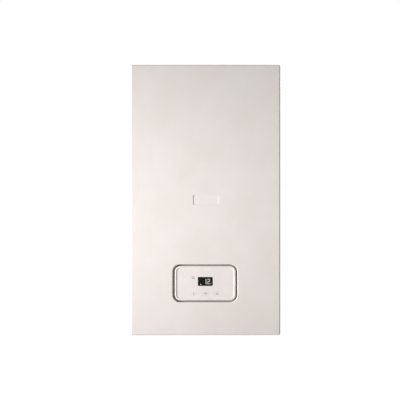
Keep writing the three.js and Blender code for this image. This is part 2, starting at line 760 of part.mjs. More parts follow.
function gasInjectorPipe() {
  const end = FAN.x - FAN.radius - 4 - GAP;
  const stations = bends([
    [36, FAN_OUTLET.y, VALVE.z1 + GAP], [36, FAN_OUTLET.y, FAN.z], [end, FAN_OUTLET.y, FAN.z],
  ], 14);
  return pipe(stations, 6, 1, 8, nut([36, FAN_OUTLET.y], 10, VALVE.z1 + GAP, VALVE.z1 + 9));
}

/** Box that quiets the air on its way to the fan: intake on top, nozzle to the fan's inlet. */
function airSilencer() {
  const [x0, x1, y0, y1, z0, z1] = [100, 190, -146, -94, 350, 680];
  const wall = 2.5;
  const box = block([x0, y0, z0], [x1, y1, z1]);
  const hollow = block([x0 + wall, y0 + wall, z0 + wall], [x1 - wall, y1 - wall, z1 - wall]);
  const nozzle = rod('y', [FAN.x, FAN.z], 30, FAN.back + GAP, y0 + 1, 20);
  const bore = rod('y', [FAN.x, FAN.z], 26, FAN.back - 1, y0 + 10, 20);
  const intake = block([x0 + 25, y0 + 11, z1 - 5], [x1 - 25, y1 - 11, z1 + 1]);
  return cut(join(box, nozzle), hollow, bore, intake);
}

// ---- Water side ------------------------------------------------------------------------------

/** The lock nut below the bottom plate and the collar above it. */
const stubNuts = (centre, radius) => [
  nut(centre, radius + 6, FLOOR.z - 10, FLOOR.z - GAP),
  rod('z', centre, radius + 4, SHELF_Z + GAP, SHELF_Z + 8, 12),
];

const waterStub = ({ x, radius }) => pipe(
  bends([[x, STUB_Y, STUB_END], [x, STUB_Y, SOCKET_END - GAP]], 1),
  radius,
  1.5,
  10,
  ...stubNuts([x, STUB_Y], radius),
);

/** A socket below a block, with the bore for a stub. */
const socket = (x, radius, top) => rod('z', [x, STUB_Y], radius, SOCKET_END, top, 14);
const socketBore = (x, radius, top) => rod('z', [x, STUB_Y], radius, SOCKET_END - 1, top, 10);

/** Flow side block: sockets below, the plate exchanger's pad and the flow riser on top. */
function flowBlock() {
  const z = FLOW_BLOCK_Z;
  const riser = [-182, -130];
  return cut(
    join(
      rod('x', [STUB_Y, z], BLOCK_R, -196, -60, 20),
      socket(-140, 15, z),
      socket(-70, 13, z),
      block([-112, STUB_Y - 10, SHELF_Z + GAP], [-98, STUB_Y + 10, z]),
      rod('z', riser, 13, z, 190, 14),
      rod('z', [-118, STUB_Y], 17, z, 190),
      block([-104, PLATES.y0 - 4, z], [-64, PLATES.y1 - 10, 190]),
      rod('y', [RELIEF.x, z], 14, -135, STUB_Y, 14),
    ),
    socketBore(-140, 9.5, z),
    socketBore(-70, 6.5, z),
    rod('x', [STUB_Y, z], 14, -190, -66, 12),
    rod('z', riser, 8, z, 191, 10),
    rod('z', [EXCHANGER_PORTS[0], PLATES.y0 + 22], 7, z, 191, 10),
    rod('z', [-84, STUB_Y + 12], 9, z, 150, 10),
    rod('y', [RELIEF.x, z], 6, -136, STUB_Y, 10),
  );
}

/** Return side block: sockets below, the pump's pad, the exchanger's leg and the filling tap. */
function returnBlock() {
  const z = RETURN_BLOCK_Z;
  return cut(
    join(
      rod('x', [STUB_Y, z], BLOCK_R, 48, 168, 20),
      socket(70, 13, z),
      socket(140, 15, z),
      block([94, STUB_Y - 10, SHELF_Z + GAP], [116, STUB_Y + 10, z]),
      block([98, -132, z], [142, -92, 130]),
      block([56, PLATES.y0, z], [90, PLATES.y1 - 10, 190]),
      rod('z', [130, -78], 9, z, 129, 12),
      rod('y', [TAP.x, z], 11, TAP.y, STUB_Y, 12),
      rod('z', [TAP.x, TAP.y], 12, SHELF_Z + GAP, z + 11, 14),
    ),
    socketBore(70, 6.5, z),
    socketBore(140, 9.5, z),
    rod('x', [STUB_Y, z], 14, 54, 162, 12),
    rod('z', [PUMP.x, -112], 12, z, 131, 12),
    rod('z', [EXCHANGER_PORTS[1], PLATES.y0 + 22], 7, z, 191, 10),
    rod('z', [76, PLATES.y0 + 12], 6, z - 4, 112, 8),
    rod('z', [130, -78], 4, z, 130, 8),
    rod('z', [TAP.x, TAP.y], 4.4, SHELF_Z - 1, 70, 12),
  );
}

/** Brazed plate pack with its end plate. */
function plateHeatExchanger() {
  const { half, z0, z1, y0, y1 } = PLATES;
  const plates = 4;
  const pitch = (y1 - y0 - 3) / plates;
  const pack = Array.from({ length: plates }, (_, index) => {
    const start = y0 + 3 + index * pitch;
    return join(
      slab('y', roundRect([0, (z0 + z1) / 2], 2 * half, z1 - z0, 14), start - 0.2, start + 2.2, 1),
      slab('y', roundRect([0, (z0 + z1) / 2], 2 * half - 6, z1 - z0 - 6, 11), start, start + pitch, 1),
    );
  });
  const endPlate = slab('y', roundRect([0, (z0 + z1) / 2], 2 * half, z1 - z0, 14), y0, y0 + 3, 1);
  const ports = EXCHANGER_PORTS.map(
    (x) => block([x - 9, y0 + 13, z0], [x + 9, y0 + 31, z0 + 10]),
  );
  const hollow = slab(
    'y',
    roundRect([0, (z0 + z1) / 2], 2 * half - 14, z1 - z0 - 14, 8),
    y0 + 6,
    y1 - 6,
  );
  const bores = EXCHANGER_PORTS.map((x) => rod('z', [x, y0 + 22], 5, z0 - 1, z0 + 20, 8));
  return cut(join(endPlate, ...pack, ...ports), hollow, ...bores);
}

/** Round-cornered pillow of pressed steel, with its seam and port. */
function expansionVessel() {
  const { half, z0, z1, y0, y1, wall, seam } = VESSEL;
  const middle = [0, (z0 + z1) / 2];
  const body = (inset, steps) => pillow(
    'y',
    roundRect(middle, 2 * (half - inset), z1 - z0 - 2 * inset, 60 - inset),
    y0 + inset,
    y1 - inset,
    22 - inset,
    steps,
  );
  const rim = roundRect(middle, 2 * (half + seam), z1 - z0 + 2 * seam, 60 + seam);
  const port = [VESSEL_PORT.x, VESSEL_PORT.y];
  return cut(
    join(body(0, 3), slab('y', rim, -56, -52), rod('z', port, 9, z0 - 8, z0 + 24, 12)),
    body(wall, 2),
    rod('z', port, 4, z0 - 9, z0 + 40, 8),
  );
}

function expansionPipe() {
  const stations = bends([
    [VESSEL_PORT.x, VESSEL_PORT.y, VESSEL.z0 - 8 - GAP],
    [VESSEL_PORT.x, VESSEL_PORT.y, 300],
    [130, -66, 270],
    [130, -78, 240],
    [130, -78, 129 + GAP],
  ], 12);
  return pipe(stations, 5, 1, 8);
}

/** Pump volute on its foot, with the outlet neck and the boss of the air vent. */
function pumpHousing() {
  const { x, z, radius, front, back } = PUMP;
  return cut(
    join(
      rod('y', [x, z], radius, front, back, 24),
      block([98, front + 3, 130 + GAP], [142, back - 2, z - 20]),
      rod('z', PUMP_OUTLET, 12, z, 232, 14),
      rod('z', [140, -112], 11, z + 20, 228, 12),
    ),
    rod('y', [x, z], radius - 5, front + 5, back - 5, 24),
    rod('y', [x, z], 20, front - 1, front + 6),
    rod('z', [x, -112], 12, 129, z - 30, 12),
    rod('z', PUMP_OUTLET, 8, z, 233, 10),
    rod('z', [140, -112], 4, z + 30, 229, 8),
  );
}

function pumpImpeller() {
  const centre = [PUMP.x, PUMP.z];
  const vanes = Array.from({ length: 6 }, (_, index) => {
    const vane = new THREE.BoxGeometry(28, 12, 2);
    vane.rotateY(0.5);
    vane.translate(20, -113, 0);
    vane.rotateY((index * Math.PI) / 3);
    vane.translate(PUMP.x, 0, PUMP.z);
    return toSolid(vane);
  });
  return join(
    rod('y', centre, 36, -121, -118, 20),
    rod('y', centre, 9, -121, -106, 12),
    rod('y', centre, 4, -175, -119, 10),
    ...vanes,
  );
}

function pumpMotor() {
  const { x, z, front } = PUMP;
  const face = front - GAP;
  const body = turned('y', [x, z], [
    [0, face], [46, face], [46, face - 8], [41, face - 8], [41, -208], [34, -215], [0, -215],
  ], 24);
  const terminalBox = block([x - 26, -196, z + 32], [x + 26, -152, z + 56]);
  return cut(join(body, terminalBox), rod('y', [x, z], 5, -180, face + 1, 12));
}

/** Automatic air vent on the pump. */
const airVent = () => turned('z', [140, -112], [
  [0, 228.3], [8, 228.3], [8, 234], [13, 236], [13, 262], [6, 266], [4, 272], [0, 272],
], 14);

function diverterActuator() {
  return join(
    rod('z', [-118, STUB_Y], 17, 190 + GAP, 200),
    block([-137, STUB_Y - 19, 199], [-100, STUB_Y + 15, 236]),
    block([-126, STUB_Y - 27, 206], [-110, STUB_Y - 18, 222]),
  );
}

function flowPipe() {
  const end = DRUM.x - DRUM.radius - 2 - GAP;
  const stations = bends([[-182, -130, 190 + GAP], [-182, -130, DRUM.z], [end, -130, DRUM.z]], 16);
  return pipe(stations, 9, 1, 8, nut([-182, -130], 14, 190 + GAP, 203));
}

function returnPipe() {
  const stations = bends([
    [...PUMP_OUTLET, 232 + GAP], [...PUMP_OUTLET, 300], [20, -112, 370], [20, -112, 405 - GAP],
  ], 22);
  return pipe(
    stations,
    9,
    1,
    8,
    nut(PUMP_OUTLET, 14, 232 + GAP, 245),
    nut([20, -112], 14, 392, 405 - GAP),
  );
}

/** Safety valve on the front of the flow block, with its discharge spout. */
function safetyValve() {
  const z = FLOW_BLOCK_Z;
  return cut(
    join(
      rod('y', [RELIEF.x, z], 10, -146, -135 - GAP, 12),
      rod('y', [RELIEF.x, z], 15, -160, -145, 6),
      rod('y', [RELIEF.x, z], 12, RELIEF.front, -159),
      rod('z', [RELIEF.x, -152], 8, 70, z, 12),
    ),
    rod('z', [RELIEF.x, -152], 5, 69, z - 4, 8),
    rod('y', [RELIEF.x, z], 3.9, RELIEF.front - 1, -150, 12),
  );
}

/** A round knob with grips, on a stem. */
function fluted(axis, centre, radius, from, to, grips) {
  const knob = rod(axis, centre, radius, from, to);
  const grooves = Array.from({ length: grips }, (_, index) => {
    const angle = (index * 2 * Math.PI) / grips;
    const place = [
      centre[0] + (radius + 1) * Math.cos(angle),
      centre[1] + (radius + 1) * Math.sin(angle),
    ];
    return rod(axis, place, 2.6, from - 1, to + 1, 6);
  });
  return cut(knob, ...grooves);
}

const safetyValveKnob = () => join(
  fluted('y', [RELIEF.x, FLOW_BLOCK_Z], 15, -202, RELIEF.front - 1, 8),
  rod('y', [RELIEF.x, FLOW_BLOCK_Z], 3.5, RELIEF.front - 2, -154, 10),
);

/** Filling tap knob under the bottom plate, with a grip bar, on a stem up into the tap. */
const fillingTapKnob = () => join(
  rod('z', [TAP.x, TAP.y], 12, 24, 34),
  block([TAP.x - 13, TAP.y - 3, 10], [TAP.x + 13, TAP.y + 3, 26]),
  rod('z', [TAP.x, TAP.y], 4, 30, 66, 10),
);

/** Trap with its siphon neck on top and its drain down through the bottom plate. */
function condensateTrap() {
  const { x, y, radius, bottom, top } = TRAP;
  const wall = 2.5;
  const outside = join(
    turned('z', [x, y], [
      [0, bottom], [20, bottom], [radius, bottom + 14], [radius, top - 20], [11, top - 10],
      [11, top], [0, top],
    ], 18),
    rod('z', [x, y], radius + 2, bottom + 40, bottom + 52, 18),
    rod('z', [x, y], 10, 8, bottom + 2, 12),
    ...stubNuts([x, y], 10),
  );
  const inside = turned('z', [x, y], [
    [0, bottom + wall], [18, bottom + wall], [radius - wall, bottom + 15],
    [radius - wall, top - 21], [7, top - 10], [7, top + 1], [0, top + 1],
  ], 18);
  return cut(outside, inside, rod('z', [x, y], 7.5, 7, bottom + 5, 12));
}

function condensateHose() {
  const { x, y, top } = TRAP;
  const stations = bends([
    [-60, -160, 390 - GAP], [-60, -160, 345], [x, y, 300], [x, y, top + GAP],
  ], 18);
  return pipe(stations, 10, 2, 8);
}

/** Cable gland in the bottom plate, with the lead's bore. */
function cableGland() {
  const centre = [GLAND.x, GLAND.y];
  return cut(
    join(
      nut(centre, 14, FLOOR.z - 9, FLOOR.z - GAP),
      rod('z', centre, GLAND.body + 1, FLOOR.z - 17, FLOOR.z - 8),
      rod('z', centre, GLAND.body, FLOOR.z - 1, SHELF_Z + 10),
      nut(centre, 14, SHELF_Z + GAP, SHELF_Z + 5),
    ),
    rod('z', centre, 5, FLOOR.z - 20, SHELF_Z + 20, 10),
  );
}

// ---- Assembly --------------------------------------------------------------------------------

/** A named group of parts. */
function group(name, ...meshes) {
  const made = new THREE.Group();
  made.name = name;
  made.add(...meshes);
  return made;
}

const casing = group(
  'casing',
  part('front_casing', frontCasing(), WHITE_PAINT),
  part('badge_plate', badgePlate(), FASCIA_PLASTIC),
  part('casing_screw_left', casingScrew(-1), STAINLESS),
  part('casing_screw_right', casingScrew(1), STAINLESS),
);

const keys = Object.entries(KEYS).map(([name, outline]) => part(name, key(outline), KEY_PLASTIC));

const controls = group(
  'controls',
  part('control_fascia', controlFascia(), FASCIA_PLASTIC),
  part('bezel_ring', bezelRing(), GROOVE_PLASTIC),
  part('display_window', displayWindow(), DISPLAY_GLASS),
  part('display_board', displayBoard(), BOARD_GREEN),
  part('control_housing', controlHousing(), GREY_PLASTIC),
  part('control_rear_cover', controlRearCover(), GREY_PLASTIC),
  part('main_circuit_board', mainCircuitBoard(), BOARD_GREEN),
  ...keys,
);

const chassis = group(
  'chassis',
  part('rear_frame', rearFrame(), GALVANISED),
  part('hanging_bracket', hangingBracket(), GALVANISED),
  part('left_side_panel', sidePanel(-1), WHITE_PAINT),
  part('right_side_panel', sidePanel(1), WHITE_PAINT),
  part('top_panel', topPanel(), WHITE_PAINT),
  part('bottom_plate', bottomPlate(), GALVANISED),
  part('hinge_bracket_left', hingeBracket(-1), GALVANISED),
  part('hinge_bracket_right', hingeBracket(1), GALVANISED),
  part('cable_gland', cableGland(), BLACK_PLASTIC),
);

const combustion = group(
  'combustion',
  part('flue_collar', flueCollar(), BLACK_PLASTIC),
  part('exhaust_duct', exhaustDuct(), GREY_PLASTIC),
  part('heat_exchanger', heatExchanger(), STAINLESS),
  part('heat_exchanger_coil', heatExchangerCoil(), STAINLESS),
  part('burner_door', burnerDoor(), CAST_ALUMINIUM),
  part('burner_tube', burnerTube(), STAINLESS),
  part('ignition_electrode', ignitionElectrode(), CERAMIC),
  part('fan_scroll', fanScroll(), CAST_ALUMINIUM),
  part('fan_impeller', fanImpeller(), BLACK_PLASTIC),
  part('fan_motor', fanMotor(), BLACK_PLASTIC),
  part('gas_air_manifold', gasAirManifold(), CAST_ALUMINIUM),
  part('gas_valve', gasValve(), CAST_ALUMINIUM),
  part('gas_pipe', gasPipe(), COPPER),
  part('gas_injector_pipe', gasInjectorPipe(), COPPER),
  part('air_silencer', airSilencer(), BLACK_PLASTIC),
  part('condensate_trap', condensateTrap(), GREY_PLASTIC),
  part('condensate_hose', condensateHose(), BLACK_PLASTIC),
);

const waterStubs = STUBS.filter(({ name }) => name !== 'gas_pipe').map(
  (stub) => part(stub.name, waterStub(stub), BRASS),
);

const hydraulics = group(
  'hydraulics',
  part('expansion_vessel', expansionVessel(), VESSEL_PAINT),
  part('expansion_pipe', expansionPipe(), COPPER),
  part('pump_housing', pumpHousing(), PUMP_PAINT),
  part('pump_impeller', pumpImpeller(), STAINLESS),
  part('pump_motor', pumpMotor(), PUMP_PAINT),
  part('air_vent', airVent(), BRASS),
  part('plate_heat_exchanger', plateHeatExchanger(), STAINLESS),
  part('flow_block', flowBlock(), BRASS),
  part('return_block', returnBlock(), BRASS),
  part('diverter_actuator', diverterActuator(), BLACK_PLASTIC),
  part('flow_pipe', flowPipe(), COPPER),
  part('return_pipe', returnPipe(), COPPER),
  part('safety_valve', safetyValve(), BRASS),
  part('safety_valve_knob', safetyValveKnob(), RED_PLASTIC),
  part('filling_tap_knob', fillingTapKnob(), BLACK_PLASTIC),
  ...waterStubs,
);

const boiler = group('combi_boiler', casing, controls, chassis, combustion, hydraulics);
boiler.position.z = -HANG_Z;

export default boiler;
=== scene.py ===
"""Looks of a wall-hung condensing combi boiler, built around its packed construction model.

Shapes are written in millimetres in the boiler's own frame: x from its left-right middle, y from the
wall (the front is -y) and z from the casing's bottom edge. show() turns them into metres.
"""

import json
import math

import bmesh
import bpy
from mathutils import Matrix, Vector
from mathutils.geometry import tessellate_polygon

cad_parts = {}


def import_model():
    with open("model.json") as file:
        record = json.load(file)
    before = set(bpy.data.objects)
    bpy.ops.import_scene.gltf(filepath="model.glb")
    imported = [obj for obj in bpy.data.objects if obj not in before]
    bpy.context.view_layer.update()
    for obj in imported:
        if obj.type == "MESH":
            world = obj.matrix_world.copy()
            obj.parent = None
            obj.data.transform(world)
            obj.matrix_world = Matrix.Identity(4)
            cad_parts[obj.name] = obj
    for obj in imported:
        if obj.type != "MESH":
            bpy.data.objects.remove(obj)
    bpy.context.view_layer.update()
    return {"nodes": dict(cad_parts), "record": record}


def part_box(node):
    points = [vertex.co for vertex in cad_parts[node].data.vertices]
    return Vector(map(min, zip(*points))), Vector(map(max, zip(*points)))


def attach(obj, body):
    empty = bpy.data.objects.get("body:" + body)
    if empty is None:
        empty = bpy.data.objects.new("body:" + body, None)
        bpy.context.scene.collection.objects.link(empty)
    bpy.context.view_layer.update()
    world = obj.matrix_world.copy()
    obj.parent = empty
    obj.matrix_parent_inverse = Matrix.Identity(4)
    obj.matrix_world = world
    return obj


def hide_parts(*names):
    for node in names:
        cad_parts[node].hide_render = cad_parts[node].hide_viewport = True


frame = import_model()

# ---- Places taken from the frame --------------------------------------------------------------

MM = 0.001
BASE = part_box("left_side_panel")[0].z  # height of the casing's bottom edge in the row frame
TO_METRES = Matrix.Translation((0, 0, BASE)) @ Matrix.Scale(MM, 4)


def corners(node):
    """Lowest and highest corner of a CAD node, in millimetres."""
    to_mm = TO_METRES.inverted()
    return [to_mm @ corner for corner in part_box(node)]


CASING = corners("front_casing")
FASCIA = corners("control_fascia")
WINDOW = corners("display_window")
BADGE = corners("badge_plate")
FRONT = CASING[0].y
SHELF = corners("bottom_plate")[1].z - 12  # top of the bottom plate's sheet

# ---- Mesh code --------------------------------------------------------------------------------

TURN = 2 * math.pi
ACROSS = {"x": (1, 2, 0), "y": (0, 2, 1), "z": (0, 1, 2)}


def spot(axis, across, along):
    """A point from its place across an axis and its place along it."""
    first, second, third = ACROSS[axis]
    point = Vector((0, 0, 0))
    point[first], point[second] = across
    point[third] = along
    return point


def about(centre, radius, turn):
    """A place on a circle, with the turn as a share of a full one."""
    return (centre[0] + radius * math.cos(TURN * turn), centre[1] + radius * math.sin(TURN * turn))


def around(centre, radius, count, first=0.0):
    """Places at even steps on a circle."""
    return [about(centre, radius, i / count + first) for i in range(count)]


def halfway(axis, low, high):
    """Middle between two corners, as a place across an axis."""
    first, second, _ = ACROSS[axis]
    return ((low[first] + high[first]) / 2, (low[second] + high[second]) / 2)


def strip(bm, rings, closed=False):
    """Skins a row of rings of equally many points. Its ends stay open, or meet if it is closed."""
    rows = [[bm.verts.new(point) for point in ring] for ring in rings]
    if closed:
        rows.append(rows[0])
    count = len(rows[0])
    for here, there in zip(rows, rows[1:]):
        for i in range(count):
            j = (i + 1) % count
            bm.faces.new((here[i], here[j], there[j], there[i]))
    return rows


def loft(bm, rings, closed=False):
    """Skins a row of rings, with caps at its ends unless it closes on itself."""
    rows = strip(bm, rings, closed)
    if not closed:
        bm.faces.new(rows[0])
        bm.faces.new(rows[-1][::-1])


def turned(bm, axis, centre, profile, sides=48):
    """Turned body. A profile's points are (radius, place), and a radius may be a function of angle."""
    closed = profile[0] == profile[-1]
    rings = []
    for radius, place in profile[:-1] if closed else profile:
        ring = []
        for i in range(sides):
            angle = TURN * i / sides
            reach = radius(angle) if callable(radius) else max(radius, 0.05)
            across = (centre[0] + reach * math.cos(angle), centre[1] + reach * math.sin(angle))
            ring.append(spot(axis, across, place))
        rings.append(ring)
    loft(bm, rings, closed)


def rod(bm, axis, centre, radius, start, end, sides=48):
    turned(bm, axis, centre, [(radius, start), (radius, end)], sides)


def tube(bm, axis, centre, outer, inner, start, end, sides=48):
    profile = [(inner, start), (outer, start), (outer, end), (inner, end), (inner, start)]
    turned(bm, axis, centre, profile, sides)


def hexagon(flat, limit):
    """Radius of a hexagon, half its width across flats, cut back to a circle."""
    def radius(angle):
        return min(limit, flat / math.cos((angle + TURN / 12) % (TURN / 6) - TURN / 12))
    return radius


def nut(bm, axis, centre, radius, start, end, bore=0):
    """Hexagon nut, its corners chamfered at both faces."""
    flat = radius * math.cos(TURN / 12)
    chamfer = 0.14 * radius
    rim, corner = hexagon(flat, flat + 0.2), hexagon(flat, radius)
    body = [(rim, start), (corner, start + chamfer), (corner, end - chamfer), (rim, end)]
    if bore:
        body = [(bore, start), *body, (bore, end), (bore, start)]
    turned(bm, axis, centre, body, 72)


def star(radius):
    """Six-lobed drive recess."""
    return lambda angle: radius * (1 + 0.14 * math.cos(6 * angle))


def rippled(radius, depth, waves):
    """Radius with soft waves, for grips and welds."""
    return lambda angle: radius + depth * math.cos(waves * angle)


def ribbed(radius, depth, ribs, share):
    """Radius with square ribs. A higher share leaves narrower gaps between them."""
    return lambda angle: radius - depth * (math.cos(ribs * angle) > share)


def fluted(radius, depth, flutes):
    """Radius with hollow flutes, for knobs."""
    return lambda angle: radius - depth * max(0.0, math.cos(flutes * angle)) ** 3


def screw(bm, axis, centre, radius, seat, out, height=None):
    """Screw head with a washer face and a six-lobed recess. out is -1 or 1, away from the seat."""
    rise = out * (height or 0.6 * radius)
    dome = [(radius, seat), (radius, seat + 0.45 * rise), (0.82 * radius, seat + 0.85 * rise)]
    recess = [(star(0.42 * radius), seat + rise), (star(0.4 * radius), seat + 0.35 * rise)]
    turned(bm, axis, centre, [*dome, *recess], 48)


def round_rect(centre, width, height, radius, steps=8):
    """Rectangle with rounded corners, as points."""
    x, y = width / 2 - radius, height / 2 - radius
    points = []
    for quarter, (a, b) in enumerate(((x, y), (-x, y), (-x, -y), (x, -y))):
        for i in range(steps + 1):
            angle = (quarter + i / steps) * TURN / 4
            points.append((
                centre[0] + a + radius * math.cos(angle),
                centre[1] + b + radius * math.sin(angle),
            ))
    return points


def ring_of(axis, outline, place):
    return [spot(axis, point, place) for point in outline]


def face_between(bm, rings):
    """Flat face bounded by the first ring, with the others as holes."""
    flat = [[Vector(point) for point in ring] for ring in rings]
    verts = [bm.verts.new(point) for ring in flat for point in ring]
    for triangle in tessellate_polygon(flat):
        bm.faces.new([verts[i] for i in triangle])


def slab(bm, axis, outline, start, end):
    """Flat outline made thick along an axis."""
    loft(bm, [ring_of(axis, outline, start), ring_of(axis, outline, end)])


def arc(steps=6):
    """(sine, one minus cosine) of a quarter turn, step by step."""
    angles = [TURN / 4 * i / steps for i in range(steps + 1)]
    return [(math.sin(angle), 1 - math.cos(angle)) for angle in angles]


def rounded_edge(outline, radius, face, steps):
    """Rings of a rounded front edge, from its side to its face. The outline takes an inset."""
    return [
        ring_of("y", outline(radius * cosine), face + radius - radius * sine)
        for sine, cosine in arc(steps)
    ]


def thread(root, crest, start, stop, pitch):
    """Profile of a thread, and the place where its last turn ends."""
    profile, place = [], start
    while place < stop:
        profile += [(root, place), (crest, place + pitch / 2)]
        place += pitch
    return profile, place


def merge(bm, extra):
    """Moves the faces of one mesh into another."""
    spare = bpy.data.meshes.new("spare")
    extra.to_mesh(spare)
    extra.free()
    bm.from_mesh(spare)
    bpy.data.meshes.remove(spare)


def block(bm, low, high, round_edges=0.0, segments=3):
    """Box between two corners, its edges rounded."""
    size = [abs(b - a) for a, b in zip(low, high)]
    middle = Vector([(a + b) / 2 for a, b in zip(low, high)])
    matrix = Matrix.Translation(middle) @ Matrix.Diagonal((*size, 1))
    made = bmesh.ops.create_cube(bm, size=1, matrix=matrix)["verts"]
    if round_edges:
        edges = {edge for vert in made for edge in vert.link_edges}
        bmesh.ops.bevel(
            bm, geom=list(edges), offset=round_edges, segments=segments, profile=0.5,
            affect="EDGES", clamp_overlap=True,
        )


def bends(points, radius, steps=10):
    """A bent pipe's stations: straight between its corners, with an arc at each."""
    points = [Vector(point) for point in points]
    stations = [points[0]]
    for before, corner, after in zip(points, points[1:], points[2:]):
        into = (before - corner).normalized()
        out = (after - corner).normalized()
        half = into.angle(out) / 2
        reach = radius / math.tan(half)
        centre = corner + (into + out).normalized() * (radius / math.sin(half))
        start = corner + into * reach - centre
        end = corner + out * reach - centre
        for i in range(steps + 1):
            stations.append(centre + start.slerp(end, i / steps))
    stations.append(points[-1])
    return stations


def evenly(stations, gap):
    """The same way with stations at an even gap, for ribs."""
    points = [Vector(stations[0])]
    for here, there in zip(stations, stations[1:]):
        count = max(1, round((there - here).length / gap))
        points += [here.lerp(there, (i + 1) / count) for i in range(count)]
    lengths = [0.0]
    for here, there in zip(points, points[1:]):
        lengths.append(lengths[-1] + (there - here).length)
    return points, lengths


def sweep(bm, stations, radius, wall=0.0, sides=28):
    """Round pipe along stations. The radius may be a list, one for each station."""
    radii = radius if isinstance(radius, list) else [radius] * len(stations)
    ways = [(b - a).normalized() for a, b in zip(stations, stations[1:])]
    tangents = [ways[0]]
    tangents += [(a + b).normalized() for a, b in zip(ways, ways[1:])]
    tangents.append(ways[-1])
    up = tangents[0].orthogonal().normalized()
    outer, inner = [], []
    for place, tangent, reach in zip(stations, tangents, radii):
        up = (up - tangent * up.dot(tangent)).normalized()
        side = tangent.cross(up)
        circle = [
            up * math.cos(TURN * i / sides) + side * math.sin(TURN * i / sides)
            for i in range(sides)
        ]
        outer.append([place + way * reach for way in circle])
        inner.append([place + way * (reach - wall) for way in circle])
    if wall:
        loft(bm, outer + inner[::-1], closed=True)
    else:
        loft(bm, outer)


def placed(name, data):
    """A new object in the scene."""
    piece = bpy.data.objects.new(name, data)
    bpy.context.scene.collection.objects.link(piece)
    return piece


def show(name, bm, body, look, edge=0.4, stands_for=(), angle=32):
    """Turns a mesh in millimetres into a piece that rides on a body, its sharp edges rounded."""
    bmesh.ops.recalc_face_normals(bm, faces=bm.faces)
    bmesh.ops.transform(bm, matrix=TO_METRES, verts=bm.verts)
    for face in bm.faces:
        face.smooth = True
    for rim in bm.edges:
        if len(rim.link_faces) == 2:
            rim.smooth = rim.calc_face_angle(0) < math.radians(angle)
    mesh = bpy.data.meshes.new(name)
    bm.to_mesh(mesh)
    bm.free()
    mesh.materials.append(look)
    piece = placed(name, mesh)
    if edge:
        bevel = piece.modifiers.new("rounded edges", "BEVEL")
        bevel.width = edge * MM
        bevel.segments = 2
        bevel.limit_method = "ANGLE"
        bevel.angle_limit = math.radians(angle)
        bevel.use_clamp_overlap = True
    normals = piece.modifiers.new("flat faces", "WEIGHTED_NORMAL")
    normals.keep_sharp = True
    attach(piece, body)
    if stands_for:
        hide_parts(*stands_for)
    return piece


BODIES = frame["record"]["behaviour"]["bodies"]


def body_of(node):
    return next(body for body, nodes in BODIES.items() if node in nodes)


def node_mesh(node):
    """A CAD node's shape as a mesh in millimetres."""
    bm = bmesh.new()
    bm.from_mesh(frame["nodes"][node].data)
    bmesh.ops.transform(bm, matrix=TO_METRES.inverted(), verts=bm.verts)
    bmesh.ops.remove_doubles(bm, verts=bm.verts, dist=0.002)
    return bm


def dress(node, look, edge):
    """A CAD node's own shape, its flat faces whole, with rounded edges and a finish."""
    bm = node_mesh(node)
    bmesh.ops.dissolve_limit(
        bm, angle_limit=math.radians(1), verts=bm.verts, edges=bm.edges, use_dissolve_boundaries=False
    )
    show(node + "_finished", bm, body_of(node), look, edge, (node,))


def cast(node, look, grain, passes):
    """A CAD node's own shape with the fillets of a casting."""
    piece = show(node + "_cast", node_mesh(node), body_of(node), look, 0, (node,), 180)
    piece.modifiers.clear()
    remesh = piece.modifiers.new("fillets", "REMESH")
    remesh.mode = "VOXEL"
    remesh.voxel_size = grain * MM
    remesh.use_smooth_shade = True
    smooth = piece.modifiers.new("soft skin", "SMOOTH")
    smooth.factor = 0.5
    smooth.iterations = passes


# ---- Finishes ---------------------------------------------------------------------------------


def rgb(code):
    """Linear colour from a colour code such as 0xf1eae6."""
    def linear(value):
        value /= 255
        return value / 12.92 if value <= 0.04045 else ((value + 0.055) / 1.055) ** 2.4
    return (linear(code >> 16), linear(code >> 8 & 255), linear(code & 255), 1)


def add_node(tree, kind, inputs=(), **settings):
    """A shader node. An input is either a value or the socket that it is linked to."""
    node = tree.nodes.new(kind)
    for setting, value in settings.items():
        setattr(node, setting, value)
    for socket, value in dict(inputs).items():
        if isinstance(value, bpy.types.NodeSocket):
            tree.links.new(value, node.inputs[socket])
        else:
            node.inputs[socket].default_value = value
    return node


